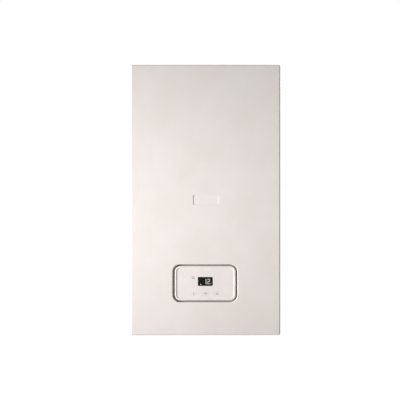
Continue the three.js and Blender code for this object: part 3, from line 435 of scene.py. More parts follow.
class Look:
    """A procedural material. Sizes of its grain are in millimetres."""

    def __init__(self, name, slot, roughness=0.5, metallic=0.0, **sockets):
        self.material = bpy.data.materials.new(name)
        self.material.use_nodes = True
        self.material["slot"] = slot
        self.tree = self.material.node_tree
        self.shader = self.tree.nodes["Principled BSDF"]
        self.shader.inputs["Roughness"].default_value = roughness
        self.shader.inputs["Metallic"].default_value = metallic
        for socket, value in sockets.items():
            self.shader.inputs[socket.replace("_", " ")].default_value = value
        self.place = self.add("ShaderNodeTexCoord").outputs["Object"]

    def add(self, kind, inputs=(), **settings):
        return add_node(self.tree, kind, inputs, **settings)

    def scaled(self, size, stretch=(1, 1, 1)):
        scale = [part / (size * MM) for part in stretch]
        return self.add("ShaderNodeMapping", {"Vector": self.place, "Scale": scale}).outputs[0]

    def noise(self, size, detail=3.0, stretch=(1, 1, 1), distortion=0.0):
        """Cloudy noise whose blobs are about size across."""
        inputs = {
            "Vector": self.scaled(size, stretch), "Scale": 1.0, "Detail": detail,
            "Distortion": distortion,
        }
        return self.add("ShaderNodeTexNoise", inputs).outputs[0]

    def cells(self, size, output, feature="F1"):
        inputs = {"Vector": self.scaled(size), "Scale": 1.0}
        return self.add("ShaderNodeTexVoronoi", inputs, feature=feature).outputs[output]

    def span(self, value, low, high, start=0.0, end=1.0):
        inputs = {"Value": value, 1: low, 2: high, 3: start, 4: end}
        return self.add("ShaderNodeMapRange", inputs).outputs[0]

    def mix(self, factor, first, second):
        inputs = {0: factor, 6: first, 7: second}
        return self.add("ShaderNodeMix", inputs, data_type="RGBA").outputs[2]

    def sum(self, first, second, operation="ADD"):
        return self.add("ShaderNodeMath", {0: first, 1: second}, operation=operation).outputs[0]

    def colour(self, socket):
        self.tree.links.new(socket, self.shader.inputs["Base Color"])
        return self

    def roughness(self, value, low, high):
        self.tree.links.new(self.span(value, 0.3, 0.7, low, high), self.shader.inputs["Roughness"])
        return self

    def bump(self, height, depth):
        """Relief of a height map from 0 to 1, depth in millimetres."""
        inputs = {"Height": height, "Distance": depth * MM, "Strength": 1.0}
        relief = self.add("ShaderNodeBump", inputs).outputs[0]
        self.tree.links.new(relief, self.shader.inputs["Normal"])
        return self


def painted(name, slot, code, shade, roughness, peel=0.012, **sockets):
    """Powder coat: two near tones in wide clouds and the fine dimples of the coat."""
    look = Look(name, slot, roughness, **sockets)
    look.colour(look.mix(look.span(look.noise(90), 0.35, 0.65), rgb(code), rgb(shade)))
    look.roughness(look.noise(14), roughness - 0.05, roughness + 0.06)
    return look.bump(look.sum(look.noise(1.6, 2), look.noise(7, 1)), peel).material


def moulded(name, slot, code, shade, roughness, grain=0.02, size=0.5, **sockets):
    """Moulded plastic: spark-eroded grain and faint flow clouds."""
    look = Look(name, slot, roughness, **sockets)
    look.colour(look.mix(look.span(look.noise(35), 0.35, 0.65), rgb(code), rgb(shade)))
    look.roughness(look.noise(4), roughness - 0.05, roughness + 0.07)
    return look.bump(look.noise(size, 4), grain).material


def galvanised():
    """Zinc spangle: flat crystals of different brightness, with dull white bloom."""
    look = Look("galvanised_sheet", "galvanised", 0.4, 0.9)
    crystal = look.add("ShaderNodeSeparateColor", {0: look.cells(9, "Color")}).outputs[0]
    tone = look.mix(crystal, rgb(0x9fa4a7), rgb(0xc6cacc))
    bloom = look.span(look.noise(30, 4), 0.5, 0.75)
    look.colour(look.mix(bloom, tone, rgb(0xb4b8ba)))
    look.tree.links.new(look.span(crystal, 0, 1, 0.3, 0.52), look.shader.inputs["Roughness"])
    edges = look.span(look.cells(9, "Distance", "DISTANCE_TO_EDGE"), 0, 0.08)
    return look.bump(look.sum(edges, look.noise(2, 3)), 0.012).material


def brushed(name, slot, code, shade, stretch, roughness=0.3):
    """Metal with fine lines along one way and soft clouds of tone."""
    look = Look(name, slot, roughness, 1.0)
    lines = look.noise(0.35, 3, stretch)
    look.colour(look.mix(look.span(look.noise(40, 3), 0.3, 0.7), rgb(code), rgb(shade)))
    look.roughness(lines, roughness - 0.08, roughness + 0.12)
    return look.bump(lines, 0.006).material


def cast_metal(name, slot, code, shade, metallic, roughness, depth=0.12, size=1.2):
    """Sand or die cast skin: small pits, dull patches."""
    look = Look(name, slot, roughness, metallic)
    pits = look.noise(size, 5)
    look.colour(look.mix(look.span(look.noise(12, 4), 0.35, 0.68), rgb(code), rgb(shade)))
    look.roughness(look.noise(6), roughness - 0.1, roughness + 0.12)
    return look.bump(pits, depth).material


def copper():
    """Drawn tube with long faint lines and brown patches of tarnish."""
    look = Look("copper_tube", "copper", 0.3, 1.0)
    fresh = look.mix(look.noise(18, 3), rgb(0xc9794e), rgb(0xd88e63))
    tarnish = look.span(look.noise(22, 5, (1, 1, 0.4), 0.6), 0.52, 0.72)
    look.colour(look.mix(tarnish, fresh, rgb(0x8d4f35)))
    look.roughness(look.noise(9, 4), 0.2, 0.42)
    return look.bump(look.noise(0.8, 3, (1, 1, 0.08)), 0.01).material


def board():
    """Green solder mask over tracks that run in steps."""
    look = Look("solder_mask", "circuit_board", 0.35)
    tracks = look.add(
        "ShaderNodeTexBrick",
        {
            "Vector": look.add("ShaderNodeMapping", {
                "Vector": look.place, "Scale": (1 / (9 * MM),) * 3, "Rotation": (math.pi / 2, 0, 0),
            }).outputs[0],
            "Scale": 1.0, "Mortar Size": 0.035, "Mortar Smooth": 0.2, "Bias": 0.0,
            "Brick Width": 0.9, "Row Height": 0.28,
        },
    )
    lines = tracks.outputs["Fac"]
    mask = look.mix(look.noise(20), rgb(0x17552e), rgb(0x1f6b3a))
    look.colour(look.mix(lines, mask, rgb(0x2e8a50)))
    return look.bump(lines, 0.05).material


def glass():
    """Near-black display glass with a faint haze of wiping marks."""
    look = Look("display_glass", "display_glass", 0.08, Specular_IOR_Level=0.12)
    look.colour(look.mix(look.noise(25, 2), rgb(0x120f0c), rgb(0x1a1612)))
    return look.roughness(look.noise(12, 5, (1, 1, 0.3)), 0.05, 0.16).material


def lit(name, code, shade, strength):
    """Glowing segment of the display, in two near tones."""
    look = Look(name, "display_glass", 0.4)
    tone = look.mix(look.noise(1.5), rgb(code), rgb(shade))
    look.colour(tone)
    look.tree.links.new(tone, look.shader.inputs["Emission Color"])
    look.shader.inputs["Emission Strength"].default_value = strength
    return look.material


PAINT = painted("warm_white_powder_coat", "white_paint", 0xf4ede9, 0xf0e8e3, 0.42)
FASCIA_LOOK = moulded("fascia_white", "fascia_plastic", 0xf6efeb, 0xf2eae6, 0.4, 0.006, 0.4)
KEY_LOOK = moulded("key_white", "key_plastic", 0xf4ece8, 0xf0e8e3, 0.42, 0.006, 0.4)
# The bezel's colour is its grey plastic painted darker: painted shade for the deep groove round the
# fascia.
GROOVE_PAINTED_SHADE_LOOK = moulded("bezel_grey_painted_groove_shade", "groove_plastic", 0x9d9791, 0x958f89, 0.55, 0.01)
GREY = moulded("housing_grey", "grey_plastic", 0x6d7072, 0x626567, 0.52)
BLACK = moulded("black_moulding", "black_plastic", 0x232426, 0x1a1b1d, 0.48)
RED = moulded("red_moulding", "red_plastic", 0xb8241f, 0xa51d19, 0.38, 0.008)
RUBBER = moulded("black_rubber", "black_plastic", 0x17181a, 0x202122, 0.72, 0.04, 0.3)
CERAMIC = moulded("glazed_ceramic", "ceramic", 0xece8de, 0xe0dbcf, 0.28, 0.006, 2)
MARK = moulded("printed_mark", "grey_plastic", 0x7f7874, 0x726b67, 0.5, 0.004, 0.3)
ENAMEL = painted("red_enamel", "vessel_paint", 0xab2720, 0x9c201a, 0.36, 0.03, Coat_Weight=0.3)
PUMP_ENAMEL = painted("dark_enamel", "pump_paint", 0x34383c, 0x292c30, 0.45, 0.06)
ZINC = galvanised()
STEEL = brushed("brushed_stainless", "stainless", 0xc6c8c9, 0xb2b1ad, (0.05, 1, 0.05))
BOLT = brushed("zinc_plated_bolt", "stainless", 0xb9bbbd, 0xa9aaa6, (1, 1, 1), 0.34)
ALUMINIUM = cast_metal("cast_aluminium", "cast_aluminium", 0xb0b3b5, 0x999c9e, 0.9, 0.46)
BRASS = cast_metal("forged_brass", "brass", 0xc6a660, 0xa88848, 1.0, 0.36, 0.05, 0.9)
BRASS_TURNED = brushed("turned_brass", "brass", 0xcfb06a, 0xb3924f, (1, 1, 0.05), 0.26)
COPPER = copper()
SOLDER_MASK = board()
GLASS = glass()
SEGMENT = lit("display_segment", 0xc4c2bb, 0xadaba4, 0.35)

# ---- Front casing -----------------------------------------------------------------------------

SHEET = 1.2
EDGE_RADIUS = 4.0
CORNER_RADIUS = 5.0
LIP_RADIUS = 2.2
CASING_SIZE = CASING[1] - CASING[0]
CASING_MIDDLE = (0.0, CASING_SIZE.z / 2)
GROOVE = 4.5
WIDER_LEFT = 1.6  # how much wider the groove is at its left
PANEL_MIDDLE = halfway("y", *FASCIA)
PANEL_WIDTH = FASCIA[1].x - FASCIA[0].x + 2 * GROOVE
PANEL_HEIGHT = FASCIA[1].z - FASCIA[0].z + 2 * GROOVE
PANEL_RADIUS = 20.0
LIP_REAR = corners("bezel_ring")[0].y - 0.3
BADGE_FLANGE = 3.0
BADGE_GAP = 0.3
BADGE_MIDDLE = halfway("y", *BADGE)
BADGE_WIDTH = BADGE[1].x - BADGE[0].x - 2 * BADGE_FLANGE
BADGE_HEIGHT = BADGE[1].z - BADGE[0].z - 2 * BADGE_FLANGE
BADGE_RADIUS = 3.0
CUPS = [halfway("z", *corners("casing_screw_" + side)) for side in ("left", "right")]
CUP_HEAD, CUP_HOLE, CUP_OUTER = 5.8, 2.7, 7.0  # radii of a screw cup
CUP_CEILING, CUP_TOP = 2.8, 4.0


def casing_outline(inset):
    return round_rect(
        CASING_MIDDLE, CASING_SIZE.x - 2 * inset, CASING_SIZE.z - 2 * inset,
        max(CORNER_RADIUS - inset, 0.6), 10,
    )


def panel_outline(inset):
    return round_rect(
        PANEL_MIDDLE, PANEL_WIDTH - 2 * inset, PANEL_HEIGHT - 2 * inset, PANEL_RADIUS - inset, 16
    )


def rim_outline(inset):
    """Outer edge of the fascia's rim. The groove is a little wider at its left than elsewhere."""
    middle = (PANEL_MIDDLE[0] + WIDER_LEFT / 2, PANEL_MIDDLE[1])
    width = PANEL_WIDTH - WIDER_LEFT - 2 * (GROOVE + inset)
    height = PANEL_HEIGHT - 2 * (GROOVE + inset)
    return round_rect(middle, width, height, PANEL_RADIUS - GROOVE - inset, 16)


def badge_outline(grow):
    return round_rect(
        BADGE_MIDDLE, BADGE_WIDTH + 2 * grow, BADGE_HEIGHT + 2 * grow, BADGE_RADIUS + grow, 8
    )


def casing_side(bm, inset, radius, front, hole):
    """Wall and rounded edge of the tray, with the holes for the screw cups in its lower wall."""
    rings = [ring_of("y", casing_outline(inset), CASING[1].y)]
    rings += rounded_edge(lambda more: casing_outline(inset + more), radius, front, 8)
    strip(bm, rings)
    lower = [face for face in bm.faces if all(abs(v.co.z - inset) < 0.01 for v in face.verts)]
    wall = max(lower, key=lambda face: face.calc_area())
    corner_points = [vert.co.copy() for vert in wall.verts]
    bmesh.ops.delete(bm, geom=[wall], context="FACES_ONLY")
    face_between(bm, [corner_points, *(cup_ring(centre, hole, inset) for centre in CUPS)])
    return rings


def cup_ring(centre, radius, place):
    return ring_of("z", around(centre, radius, 40), place)


def screw_cups(bm):
    """Pressed cups for the two captive screws under the casing's front edge."""
    profile = [
        (CUP_HEAD, 0), (CUP_HEAD, CUP_CEILING), (CUP_HOLE, CUP_CEILING), (CUP_HOLE, CUP_TOP),
        (CUP_OUTER, CUP_TOP), (CUP_OUTER, SHEET),
    ]
    for centre in CUPS:
        strip(bm, [cup_ring(centre, radius, place) for radius, place in profile])


def front_casing():
    """Folded steel tray: rounded edges, a rolled lip round the controls and the badge's window."""
    bm = bmesh.new()
    outer = casing_side(bm, 0, EDGE_RADIUS, FRONT, CUP_HEAD)
    inner = casing_side(bm, SHEET, EDGE_RADIUS - SHEET, FRONT + SHEET, CUP_OUTER)
    strip(bm, [outer[0], inner[0]])
    screw_cups(bm)
    lip = [
        ring_of("y", panel_outline(-LIP_RADIUS * (1 - sine)), FRONT + LIP_RADIUS * cosine)
        for sine, cosine in arc(6)
    ]
    for inset, place in (
        (0, LIP_REAR), (-SHEET, LIP_REAR), (-SHEET, FRONT + LIP_RADIUS + 0.6),
        (-LIP_RADIUS, FRONT + SHEET),
    ):
        lip.append(ring_of("y", panel_outline(inset), place))
    strip(bm, lip)
    window = [
        ring_of("y", badge_outline(grow), FRONT + depth)
        for grow, depth in ((0.7, 0), (0.2, 0.2), (0, 0.6), (0, SHEET))
    ]
    strip(bm, window)
    face_between(bm, [outer[-1], lip[0], window[0]])
    face_between(bm, [inner[-1], lip[-1], window[-1]])
    bmesh.ops.remove_doubles(bm, verts=bm.verts, dist=0.001)
    show("casing_shell", bm, "front_casing", PAINT, 0, ("front_casing",), 50)


def badge():
    """Bare name badge with a softly rounded face on a flat flange."""
    bm = bmesh.new()
    face, back = BADGE[0].y, BADGE[1].y
    rings = [
        ring_of("y", badge_outline(grow), place) for grow, place in (
            (BADGE_FLANGE, back), (BADGE_FLANGE, face + 0.4), (-BADGE_GAP, face + 0.4),
        )
    ]
    rings += rounded_edge(lambda inset: badge_outline(-BADGE_GAP - inset), 0.3, face, 4)
    loft(bm, rings)
    show("name_badge", bm, "front_casing", FASCIA_LOOK, 0, ("badge_plate",), 40)


# ---- Control panel ----------------------------------------------------------------------------

RIM = 5.0
RIM_RADIUS = 1.5
FIELD = WINDOW[0].y - 0.1
FIELD_REAR = WINDOW[1].y
KEY_GAP = 0.2
KEY_NODES = ("key_reset", "key_mode", "key_down", "key_up")
KEY_FLANGE = 1.5
DISPLAY_BOARD = -297.0  # front face of the board behind display and keys


def key_shape(node, grow=0.0):
    low, high = corners(node)
    width, height = high.x - low.x - 2 * KEY_FLANGE, high.z - low.z - 2 * KEY_FLANGE
    radius = min(width, height) / 2 - 0.1
    middle = halfway("y", low, high)
    return round_rect(middle, width + 2 * grow, height + 2 * grow, radius + grow, 10)


def window_outline(grow=0.0):
    width, height = WINDOW[1].x - WINDOW[0].x, WINDOW[1].z - WINDOW[0].z
    return round_rect(halfway("y", *WINDOW), width + 2 * grow, height + 2 * grow, 2 + grow, 8)


def fascia():
    """Dished fascia: rounded rim, a step down to its field, and openings for display and keys."""
    bm = bmesh.new()
    front, rear = FASCIA[0].y, LIP_REAR
    rings = [ring_of("y", panel_outline(GROOVE + 2.5), rear), ring_of("y", rim_outline(0), rear)]
    rings += rounded_edge(rim_outline, RIM_RADIUS, front, 6)
    for sine, cosine in arc(4):
        rings.append(ring_of("y", panel_outline(GROOVE + RIM - 0.4 + 0.4 * sine), front + 0.4 * cosine))
    rings.append(ring_of("y", panel_outline(GROOVE + RIM + 0.25), FIELD - 0.25))
    rings.append(ring_of("y", panel_outline(GROOVE + RIM + 0.55), FIELD))
    strip(bm, rings)
    openings = [window_outline(0.2), *(key_shape(node, KEY_GAP) for node in KEY_NODES)]
    face_between(bm, [rings[-1], *(ring_of("y", points, FIELD) for points in openings)])
    back = ring_of("y", panel_outline(GROOVE + 2.5), FIELD_REAR)
    face_between(bm, [back, *(ring_of("y", points, FIELD_REAR) for points in openings)])
    strip(bm, [back, rings[0]])
    for points in openings:
        strip(bm, [ring_of("y", points, FIELD), ring_of("y", points, FIELD_REAR)])
    bmesh.ops.remove_doubles(bm, verts=bm.verts, dist=0.001)
    for x in (-56, 54):
        for z in (108, 176):
            rod(bm, "y", (x, z), 3, FIELD_REAR - 0.3, DISPLAY_BOARD - 0.3, 20)
    show("fascia_moulding", bm, "control_box", FASCIA_LOOK, 0, ("control_fascia",), 40)


def bezel():
    """Ring that forms the floor of the groove round the fascia, in its grey plastic darkened with
    painted groove shade.
    """
    bm = bmesh.new()
    low, high = corners("bezel_ring")
    outer, inner = -6.5, GROOVE + 5
    rings = [
        ring_of("y", panel_outline(inset), place)
        for inset, place in ((outer, low.y), (inner, low.y), (inner, high.y), (outer, high.y))
    ]
    loft(bm, rings, closed=True)
    show("bezel_moulding", bm, "control_box", GROOVE_PAINTED_SHADE_LOOK, 0.3, ("bezel_ring",))


def display():
    """Display glass with rounded edges."""
    bm = bmesh.new()
    rings = [ring_of("y", window_outline(), WINDOW[1].y)]
    rings += rounded_edge(lambda inset: window_outline(-inset), 0.3, WINDOW[0].y, 4)
    loft(bm, rings)
    show("display_pane", bm, "control_box", GLASS, 0, ("display_window",), 40)


SEGMENTS = {"1": "bc", "2": "abged"}


def digit_bars(character, left, low, width, height, thick):
    """Seven-segment bars of a digit, as boxes of (x0, z0, x1, z1)."""
    right, top, middle = left + width, low + height, low + height / 2
    bars = {
        "a": (left, top - thick, right, top),
        "b": (right - thick, middle, right, top),
        "c": (right - thick, low, right, middle),
        "d": (left, low, right, low + thick),
        "e": (left, low, left + thick, middle),
        "g": (left, middle - thick / 2, right, middle + thick / 2),
    }
    return [bars[name] for name in SEGMENTS[character]]


def display_reading():
    """A plain reading of 1.2 in seven segments, with three small status marks."""
    bm = bmesh.new()
    front, back = WINDOW[0].y - 0.05, WINDOW[0].y + 0.2
    size = {"width": 7.2, "height": 14.5, "thick": 2.1}
    bars = digit_bars("1", -4.4, 139.5, **size) + digit_bars("2", 5.4, 139.5, **size)
    bars.append((3.2, 138.6, 4.9, 140.4))
    bars += [(14.4, 142, 16.6, 143.2), (15.2, 140.2, 16.6, 141.2)]
    inset = 0.12
    for x0, z0, x1, z1 in bars:
        outline = round_rect(
            ((x0 + x1) / 2, (z0 + z1) / 2), x1 - x0 - 2 * inset, z1 - z0 - 2 * inset, 0.3, 3
        )
        slab(bm, "y", outline, front, back)
    slab(bm, "y", [(-14.6, 137.4), (-10.8, 137.4), (-12.7, 141)], front, back)
    show("display_reading", bm, "control_box", SEGMENT, 0)


def key_cap(node):
    """Key with a softly rounded cap, a flange behind the fascia and a stem."""
    bm = bmesh.new()
    low, high = corners(node)
    flange = FIELD_REAR + 0.3
    rings = [ring_of("y", key_shape(node), flange + 0.1)]
    rings += rounded_edge(lambda inset: key_shape(node, -inset), 0.5, low.y, 5)
    loft(bm, rings)
    slab(bm, "y", key_shape(node, KEY_FLANGE), flange, flange + 1.2)
    middle = halfway("y", low, high)
    rod(bm, "y", middle, 1.5, flange + 1, high.y, 20)
    show(node + "_cap", bm, node, KEY_LOOK, 0, (node,), 50)
    return middle, low.y


ARROW = {"key_down": (5.0, 1.9, 1.9), "key_up": (2.8, 2.6, 1.9)}  # half width, half height, line


def keys():
    """The keys with their small printed marks: a ring, a bar and two arrowheads."""
    for node in KEY_NODES:
        (x, z), face = key_cap(node)
        bm = bmesh.new()
        span = {"axis": "y", "start": face - 0.04, "end": face + 0.1}
        if node == "key_reset":
            tube(bm, "y", (x, z), 2.9, 1.9, span["start"], span["end"], 32)
        elif node == "key_mode":
            slab(bm, outline=round_rect((x, z), 1.1, 6.6, 0.5, 3), **span)
        else:
            up = 1 if node == "key_up" else -1
            reach, rise, thick = ARROW[node]
            arrow = [(-reach, -rise), (0, rise), (reach, -rise), (reach - thick, -rise),
                     (0, rise - thick), (thick - reach, -rise)]
            slab(bm, outline=[(x + a, z + up * b) for a, b in arrow], **span)
        show(node + "_mark", bm, node, MARK, 0)


# ---- Flue collar and top ----------------------------------------------------------------------

FLUE_BOX = corners("flue_collar")
FLUE_Y = (FLUE_BOX[0].y + FLUE_BOX[1].y) / 2
FLUE_TOP = FLUE_BOX[1].z
FLUE_AXIS = (0.0, FLUE_Y)
TOP = CASING[1].z
AIR_RADIUS = 51.0
EXHAUST_RADIUS = 31.5
FLANGE_RADIUS = 66.0
BOLT_CIRCLE = 59.0  # where the flange's screws and test points stand


def flue_collar():
    """Twin socket with rolled rims, three webs, a screwed flange and two capped test points."""
    bm = bmesh.new()
    for radius, wall, low, rim in (
        (AIR_RADIUS, 2.0, 712, FLUE_TOP), (EXHAUST_RADIUS, 1.5, FLUE_BOX[0].z, FLUE_TOP - 4),
    ):
        turned(bm, "z", FLUE_AXIS, [
            (radius - wall, low), (radius, low), (radius, rim - 2.4), (radius + 0.8, rim - 1.6),
            (radius + 0.8, rim - 0.4), (radius + 0.3, rim), (radius - wall + 0.5, rim),
            (radius - wall, rim - 0.8), (radius - wall, low),
        ], 96)
    tube(bm, "z", FLUE_AXIS, FLANGE_RADIUS, AIR_RADIUS - 0.6, TOP + 0.3, TOP + 2.3, 96)
    turned(bm, "z", FLUE_AXIS, [
        (AIR_RADIUS - 0.5, TOP + 2), (AIR_RADIUS + 2.5, TOP + 2), (AIR_RADIUS - 0.5, TOP + 4.6),
        (AIR_RADIUS - 0.5, TOP + 2),
    ], 96)
    for index in range(3):
        turn = Matrix.Rotation(TURN * (index / 3 + 0.25), 4, "Z")
        web = bmesh.new()
        block(web, (EXHAUST_RADIUS - 1, -1, 716), (AIR_RADIUS - 1, 1, 724), 0.4, 2)
        bmesh.ops.transform(web, matrix=Matrix.Translation((0, FLUE_Y, 0)) @ turn, verts=web.verts)
        merge(bm, web)
    for turn in (0.17, 0.33):
        cap = about(FLUE_AXIS, BOLT_CIRCLE, turn)
        turned(bm, "z", cap, [(5, TOP + 2), (5, TOP + 5.4), (4, TOP + 6.2), (0, TOP + 6.2)], 32)
    show("flue_socket", bm, "root", BLACK, 0.25, ("flue_collar",))
    bolts = bmesh.new()
    for place in around(FLUE_AXIS, BOLT_CIRCLE, 4):
        screw(bolts, "z", place, 4, TOP + 2.3, 1)
    show("flue_flange_screws", bolts, "root", BOLT, 0.2)
    seals = bmesh.new()
    for radius, place in ((AIR_RADIUS - 2, FLUE_TOP - 8), (EXHAUST_RADIUS - 1.5, FLUE_TOP - 12)):
        for lift in (0, 3):
            turned(seals, "z", FLUE_AXIS, [
                (radius + 0.3, place + lift), (radius - 1.8, place + lift - 1),
                (radius - 1.6, place + lift - 1.6), (radius + 0.3, place + lift - 1.8),
                (radius + 0.3, place + lift),
            ], 96)
    show("flue_lip_seals", seals, "root", RUBBER, 0.1)


def exhaust_duct():
    """Plastic duct with a bead at each end."""
    bm = bmesh.new()
    low, high = corners("exhaust_duct")
    radius = high.x
    profile = [(radius - 1.5, low.z), (radius, low.z)]
    for middle in (low.z + 6, high.z - 6):
        profile += [(radius, middle - 2), (radius + 1.6, middle - 1), (radius + 1.6, middle + 1),
                    (radius, middle + 2)]
    profile += [(radius, high.z), (radius - 1.5, high.z), (radius - 1.5, low.z)]
    turned(bm, "z", FLUE_AXIS, profile, 64)
    show("exhaust_pipe", bm, "root", GREY, 0.2, ("exhaust_duct",))


# ---- Sheet metal ------------------------------------------------------------------------------


def panels():
    """Painted side and top panels, and the zinc-coated frame parts."""
    for node in ("left_side_panel", "right_side_panel", "top_panel"):
        dress(node, PAINT, 0.45)
    for node in (
        "rear_frame", "hanging_bracket", "bottom_plate", "hinge_bracket_left", "hinge_bracket_right",
    ):
        dress(node, ZINC, 0.35)


def panel_screws():
    """Screws that hold the panels to the frame: under the side panels and on the top panel."""
    bm = bmesh.new()
    side = corners("right_side_panel")[1].x
    for x in (8 - side, side - 8):
        for y in (-230, -60):
            screw(bm, "z", (x, y), 3.6, 0, -1, 2.05)
    for x in (-170, 170):
        for y in (-235, -35):
            screw(bm, "z", (x, y), 3.8, TOP, 1, 2.2)
    show("panel_screws", bm, "root", BOLT, 0.15)
    rear = bmesh.new()
    plate = -12.5
    for x in (-188, 188):
        for z in (60, 250, 440, 630):
            screw(rear, "y", (x, z), 4.2, plate, 1, 3)
    for x, z in ((-90, 120), (90, 120), (-160, 560), (160, 560), (0, 320)):
        nut(rear, "y", (x, z), 6.5, plate, plate + 5)
        rod(rear, "y", (x, z), 2.8, plate, plate + 8, 24)
    show("frame_fixings", rear, "root", BOLT, 0.2)


def casing_screws():
    """Captive screws in the casing's two cups."""
    for side in ("left", "right"):
        node = "casing_screw_" + side
        low, high = corners(node)
        centre = halfway("z", low, high)
        head = 2.2
        bm = bmesh.new()
        screw(bm, "z", centre, high.x - centre[0], low.z + head, -1, head)
        turns, _ = thread(1.9, 2.2, low.z + head, high.z - 1, 1.0)
        turned(bm, "z", centre, [*turns, (1.5, high.z)], 32)
        show("captive_screw_" + side, bm, "front_casing", BOLT, 0, (node,), 40)


# ---- Stubs, glands and pipes ------------------------------------------------------------------


# Where pipes stand, seen from above
GAS_STUB = (0, -105)
GAS_INLET = (12, -198)
FLOW_RISER = (-182, -130)
RETURN_RISER = (84, -112)
RETURN_PORT = (20, -112)
DRAIN_PORT = (-60, -160)
VESSEL_PORT = (85, -54)
VESSEL_DROP = (130, -78)
INJECTOR_RISER = (36, -178)


def lock_nut(bm, centre, bore, radius, collar, sides):
    """Lock nut under the bottom plate, with a collar above the plate."""
    nut(bm, "z", centre, radius, SHELF - 11.5, SHELF - 1.8, bore)
    tube(bm, "z", centre, collar, bore, SHELF + 0.3, SHELF + 8, sides)


def washer_pair(name, centre, radius):
    """Flat washers under and over the bottom plate that cover the corners of a square hole."""
    reach = 1.42 * (radius + 0.8) + 0.3
    bm = bmesh.new()
    for low, high in ((SHELF - 1.8, SHELF - 1.55), (SHELF + 0.05, SHELF + 0.28)):
        tube(bm, "z", centre, reach, radius - 0.2, low, high, 64)
    show(name, bm, "root", RUBBER, 0)


def barbs(bore, tip, radius, low):
    """Profile of a barbed hose end that points down, from its bore out and up."""
    steps = ((0, 2), (0.8, 5), (0, 7), (0.8, 10), (0, 12))
    return [(bore, low), (tip, low), *((radius - less, low + rise) for less, rise in steps)]


def stub(node):
    """Threaded brass stub through the bottom plate, with its lock nut and collar."""
    low, high = corners(node)
    centre = halfway("z", low, high)
    nut_radius = (high.x - low.x) / 2
    radius = nut_radius - 6
    bm = bmesh.new()
    turns, place = thread(radius - 0.9, radius, low.z + 0.8, low.z + 17, 1.6)
    turned(bm, "z", centre, [
        (radius - 1.5, low.z), (radius - 1.1, low.z), *turns, (radius, place), (radius, high.z),
        (radius - 1.5, high.z), (radius - 1.5, low.z),
    ], 64)
    lock_nut(bm, centre, radius - 0.3, nut_radius, radius + 4, 64)
    show(node + "_turned", bm, "root", BRASS_TURNED, 0.25, (node,), 40)
    washer_pair(node + "_washer", centre, radius)


def gas_pipe():
    """Copper gas pipe from below the boiler to the gas valve."""
    bm = bmesh.new()
    low = corners("gas_pipe")[0]
    valve = corners("gas_valve")[0].z
    route = [(*GAS_STUB, low.z), (*GAS_STUB, 235), (*GAS_INLET, 235), (*GAS_INLET, valve - 0.3)]
    sweep(bm, bends(route, 22), 9, 1.2)
    show("gas_supply_pipe", bm, "root", COPPER, 0.15, ("gas_pipe",))
    nuts = bmesh.new()
    lock_nut(nuts, GAS_STUB, 8.8, 15, 13, 48)
    nut(nuts, "z", GAS_INLET, 15, valve - 14, valve - 0.3, 8.8)
    show("gas_pipe_nuts", nuts, "root", BRASS_TURNED, 0.25)
    washer_pair("gas_pipe_washers", GAS_STUB, 9)


def water_pipes():
    """Copper pipes of the water side, with their union nuts."""
    for name, bend, radius, route in (
        ("flow_pipe", 16, 9, [(*FLOW_RISER, 190.3), (*FLOW_RISER, 520), (-160.3, -130, 520)]),
        ("return_pipe", 22, 9, [
            (*RETURN_RISER, 232.3), (*RETURN_RISER, 300), (*RETURN_PORT, 370), (*RETURN_PORT, 404.7),
        ]),
        ("expansion_pipe", 12, 5, [
            (*VESSEL_PORT, 321.7), (*VESSEL_PORT, 300), (130, -66, 270), (*VESSEL_DROP, 240),
            (*VESSEL_DROP, 129.3),
        ]),
        ("gas_injector_pipe", 14, 6, [
            (*INJECTOR_RISER, 345.3), (*INJECTOR_RISER, 415), (57.7, -178, 415),
        ]),
    ):
        bm = bmesh.new()
        sweep(bm, bends(route, bend), radius, 1)
        show(name + "_drawn", bm, "root", COPPER, 0.15, (name,))
    nuts = bmesh.new()
    for centre, bore, radius, start, end in (
        (FLOW_RISER, 8.8, 14, 190.3, 203), (RETURN_RISER, 8.8, 14, 232.3, 245),
        (RETURN_PORT, 8.8, 14, 392, 404.7), (INJECTOR_RISER, 5.8, 10, 345.3, 354),
        (VESSEL_DROP, 4.8, 9, 129.3, 138), (VESSEL_PORT, 4.8, 9, 313, 321.7),
    ):
        nut(nuts, "z", centre, radius, start, end, bore)
    show("union_nuts", nuts, "root", BRASS_TURNED, 0.25)


def condensate_parts():
    """Condensate trap with its bayonet ring and ribs, and the ribbed hose above it."""
    low, high = corners("condensate_trap")
    centre = halfway("z", low, high)
    bottom, top = 90, high.z
    bm = bmesh.new()
    turned(bm, "z", centre, [
        *barbs(7.5, 9, 10, low.z), (10, bottom), (19, bottom), (20.5, bottom + 0.5),
        (28, bottom + 14), (28, top - 20), (27.4, top - 18.5), (11, top - 10), (11, top),
        (7, top), (7, top - 10), (25, top - 21), (25.5, bottom + 15), (18, bottom + 2.5),
        (7.5, bottom + 2.5), (7.5, low.z),
    ], 64)
    grip = rippled(29.6, 0.5, 24)
    turned(bm, "z", centre, [
        (27.5, bottom + 39), (grip, bottom + 40.5), (grip, bottom + 51), (27.5, bottom + 52.5),
        (27.5, bottom + 39),
    ], 192)
    for x, y in around(centre, 28, 4, 0.125):
        block(bm, (x - 1, y - 1, bottom + 60), (x + 1, y + 1, top - 24), 0.5, 2)
    lock_nut(bm, centre, 9.8, 16, 14, 48)
    show("condensate_siphon", bm, "root", GREY, 0.25, ("condensate_trap",), 40)
    washer_pair("condensate_washers", centre, 10)
    hose = bmesh.new()
    low, high = corners("condensate_hose")
    route = [(*DRAIN_PORT, high.z), (*DRAIN_PORT, 345), (*centre, 300), (*centre, low.z)]
    way, lengths = evenly(bends(route, 18), 0.8)
    cuff = 10
    radii = [
        9.9 if d < cuff or d > lengths[-1] - cuff else 9.2 + 0.75 * math.cos(TURN * d / 4.8)
        for d in lengths
    ]
    sweep(hose, way, radii, 1.5, 32)
    show("ribbed_hose", hose, "root", RUBBER, 0, ("condensate_hose",), 60)


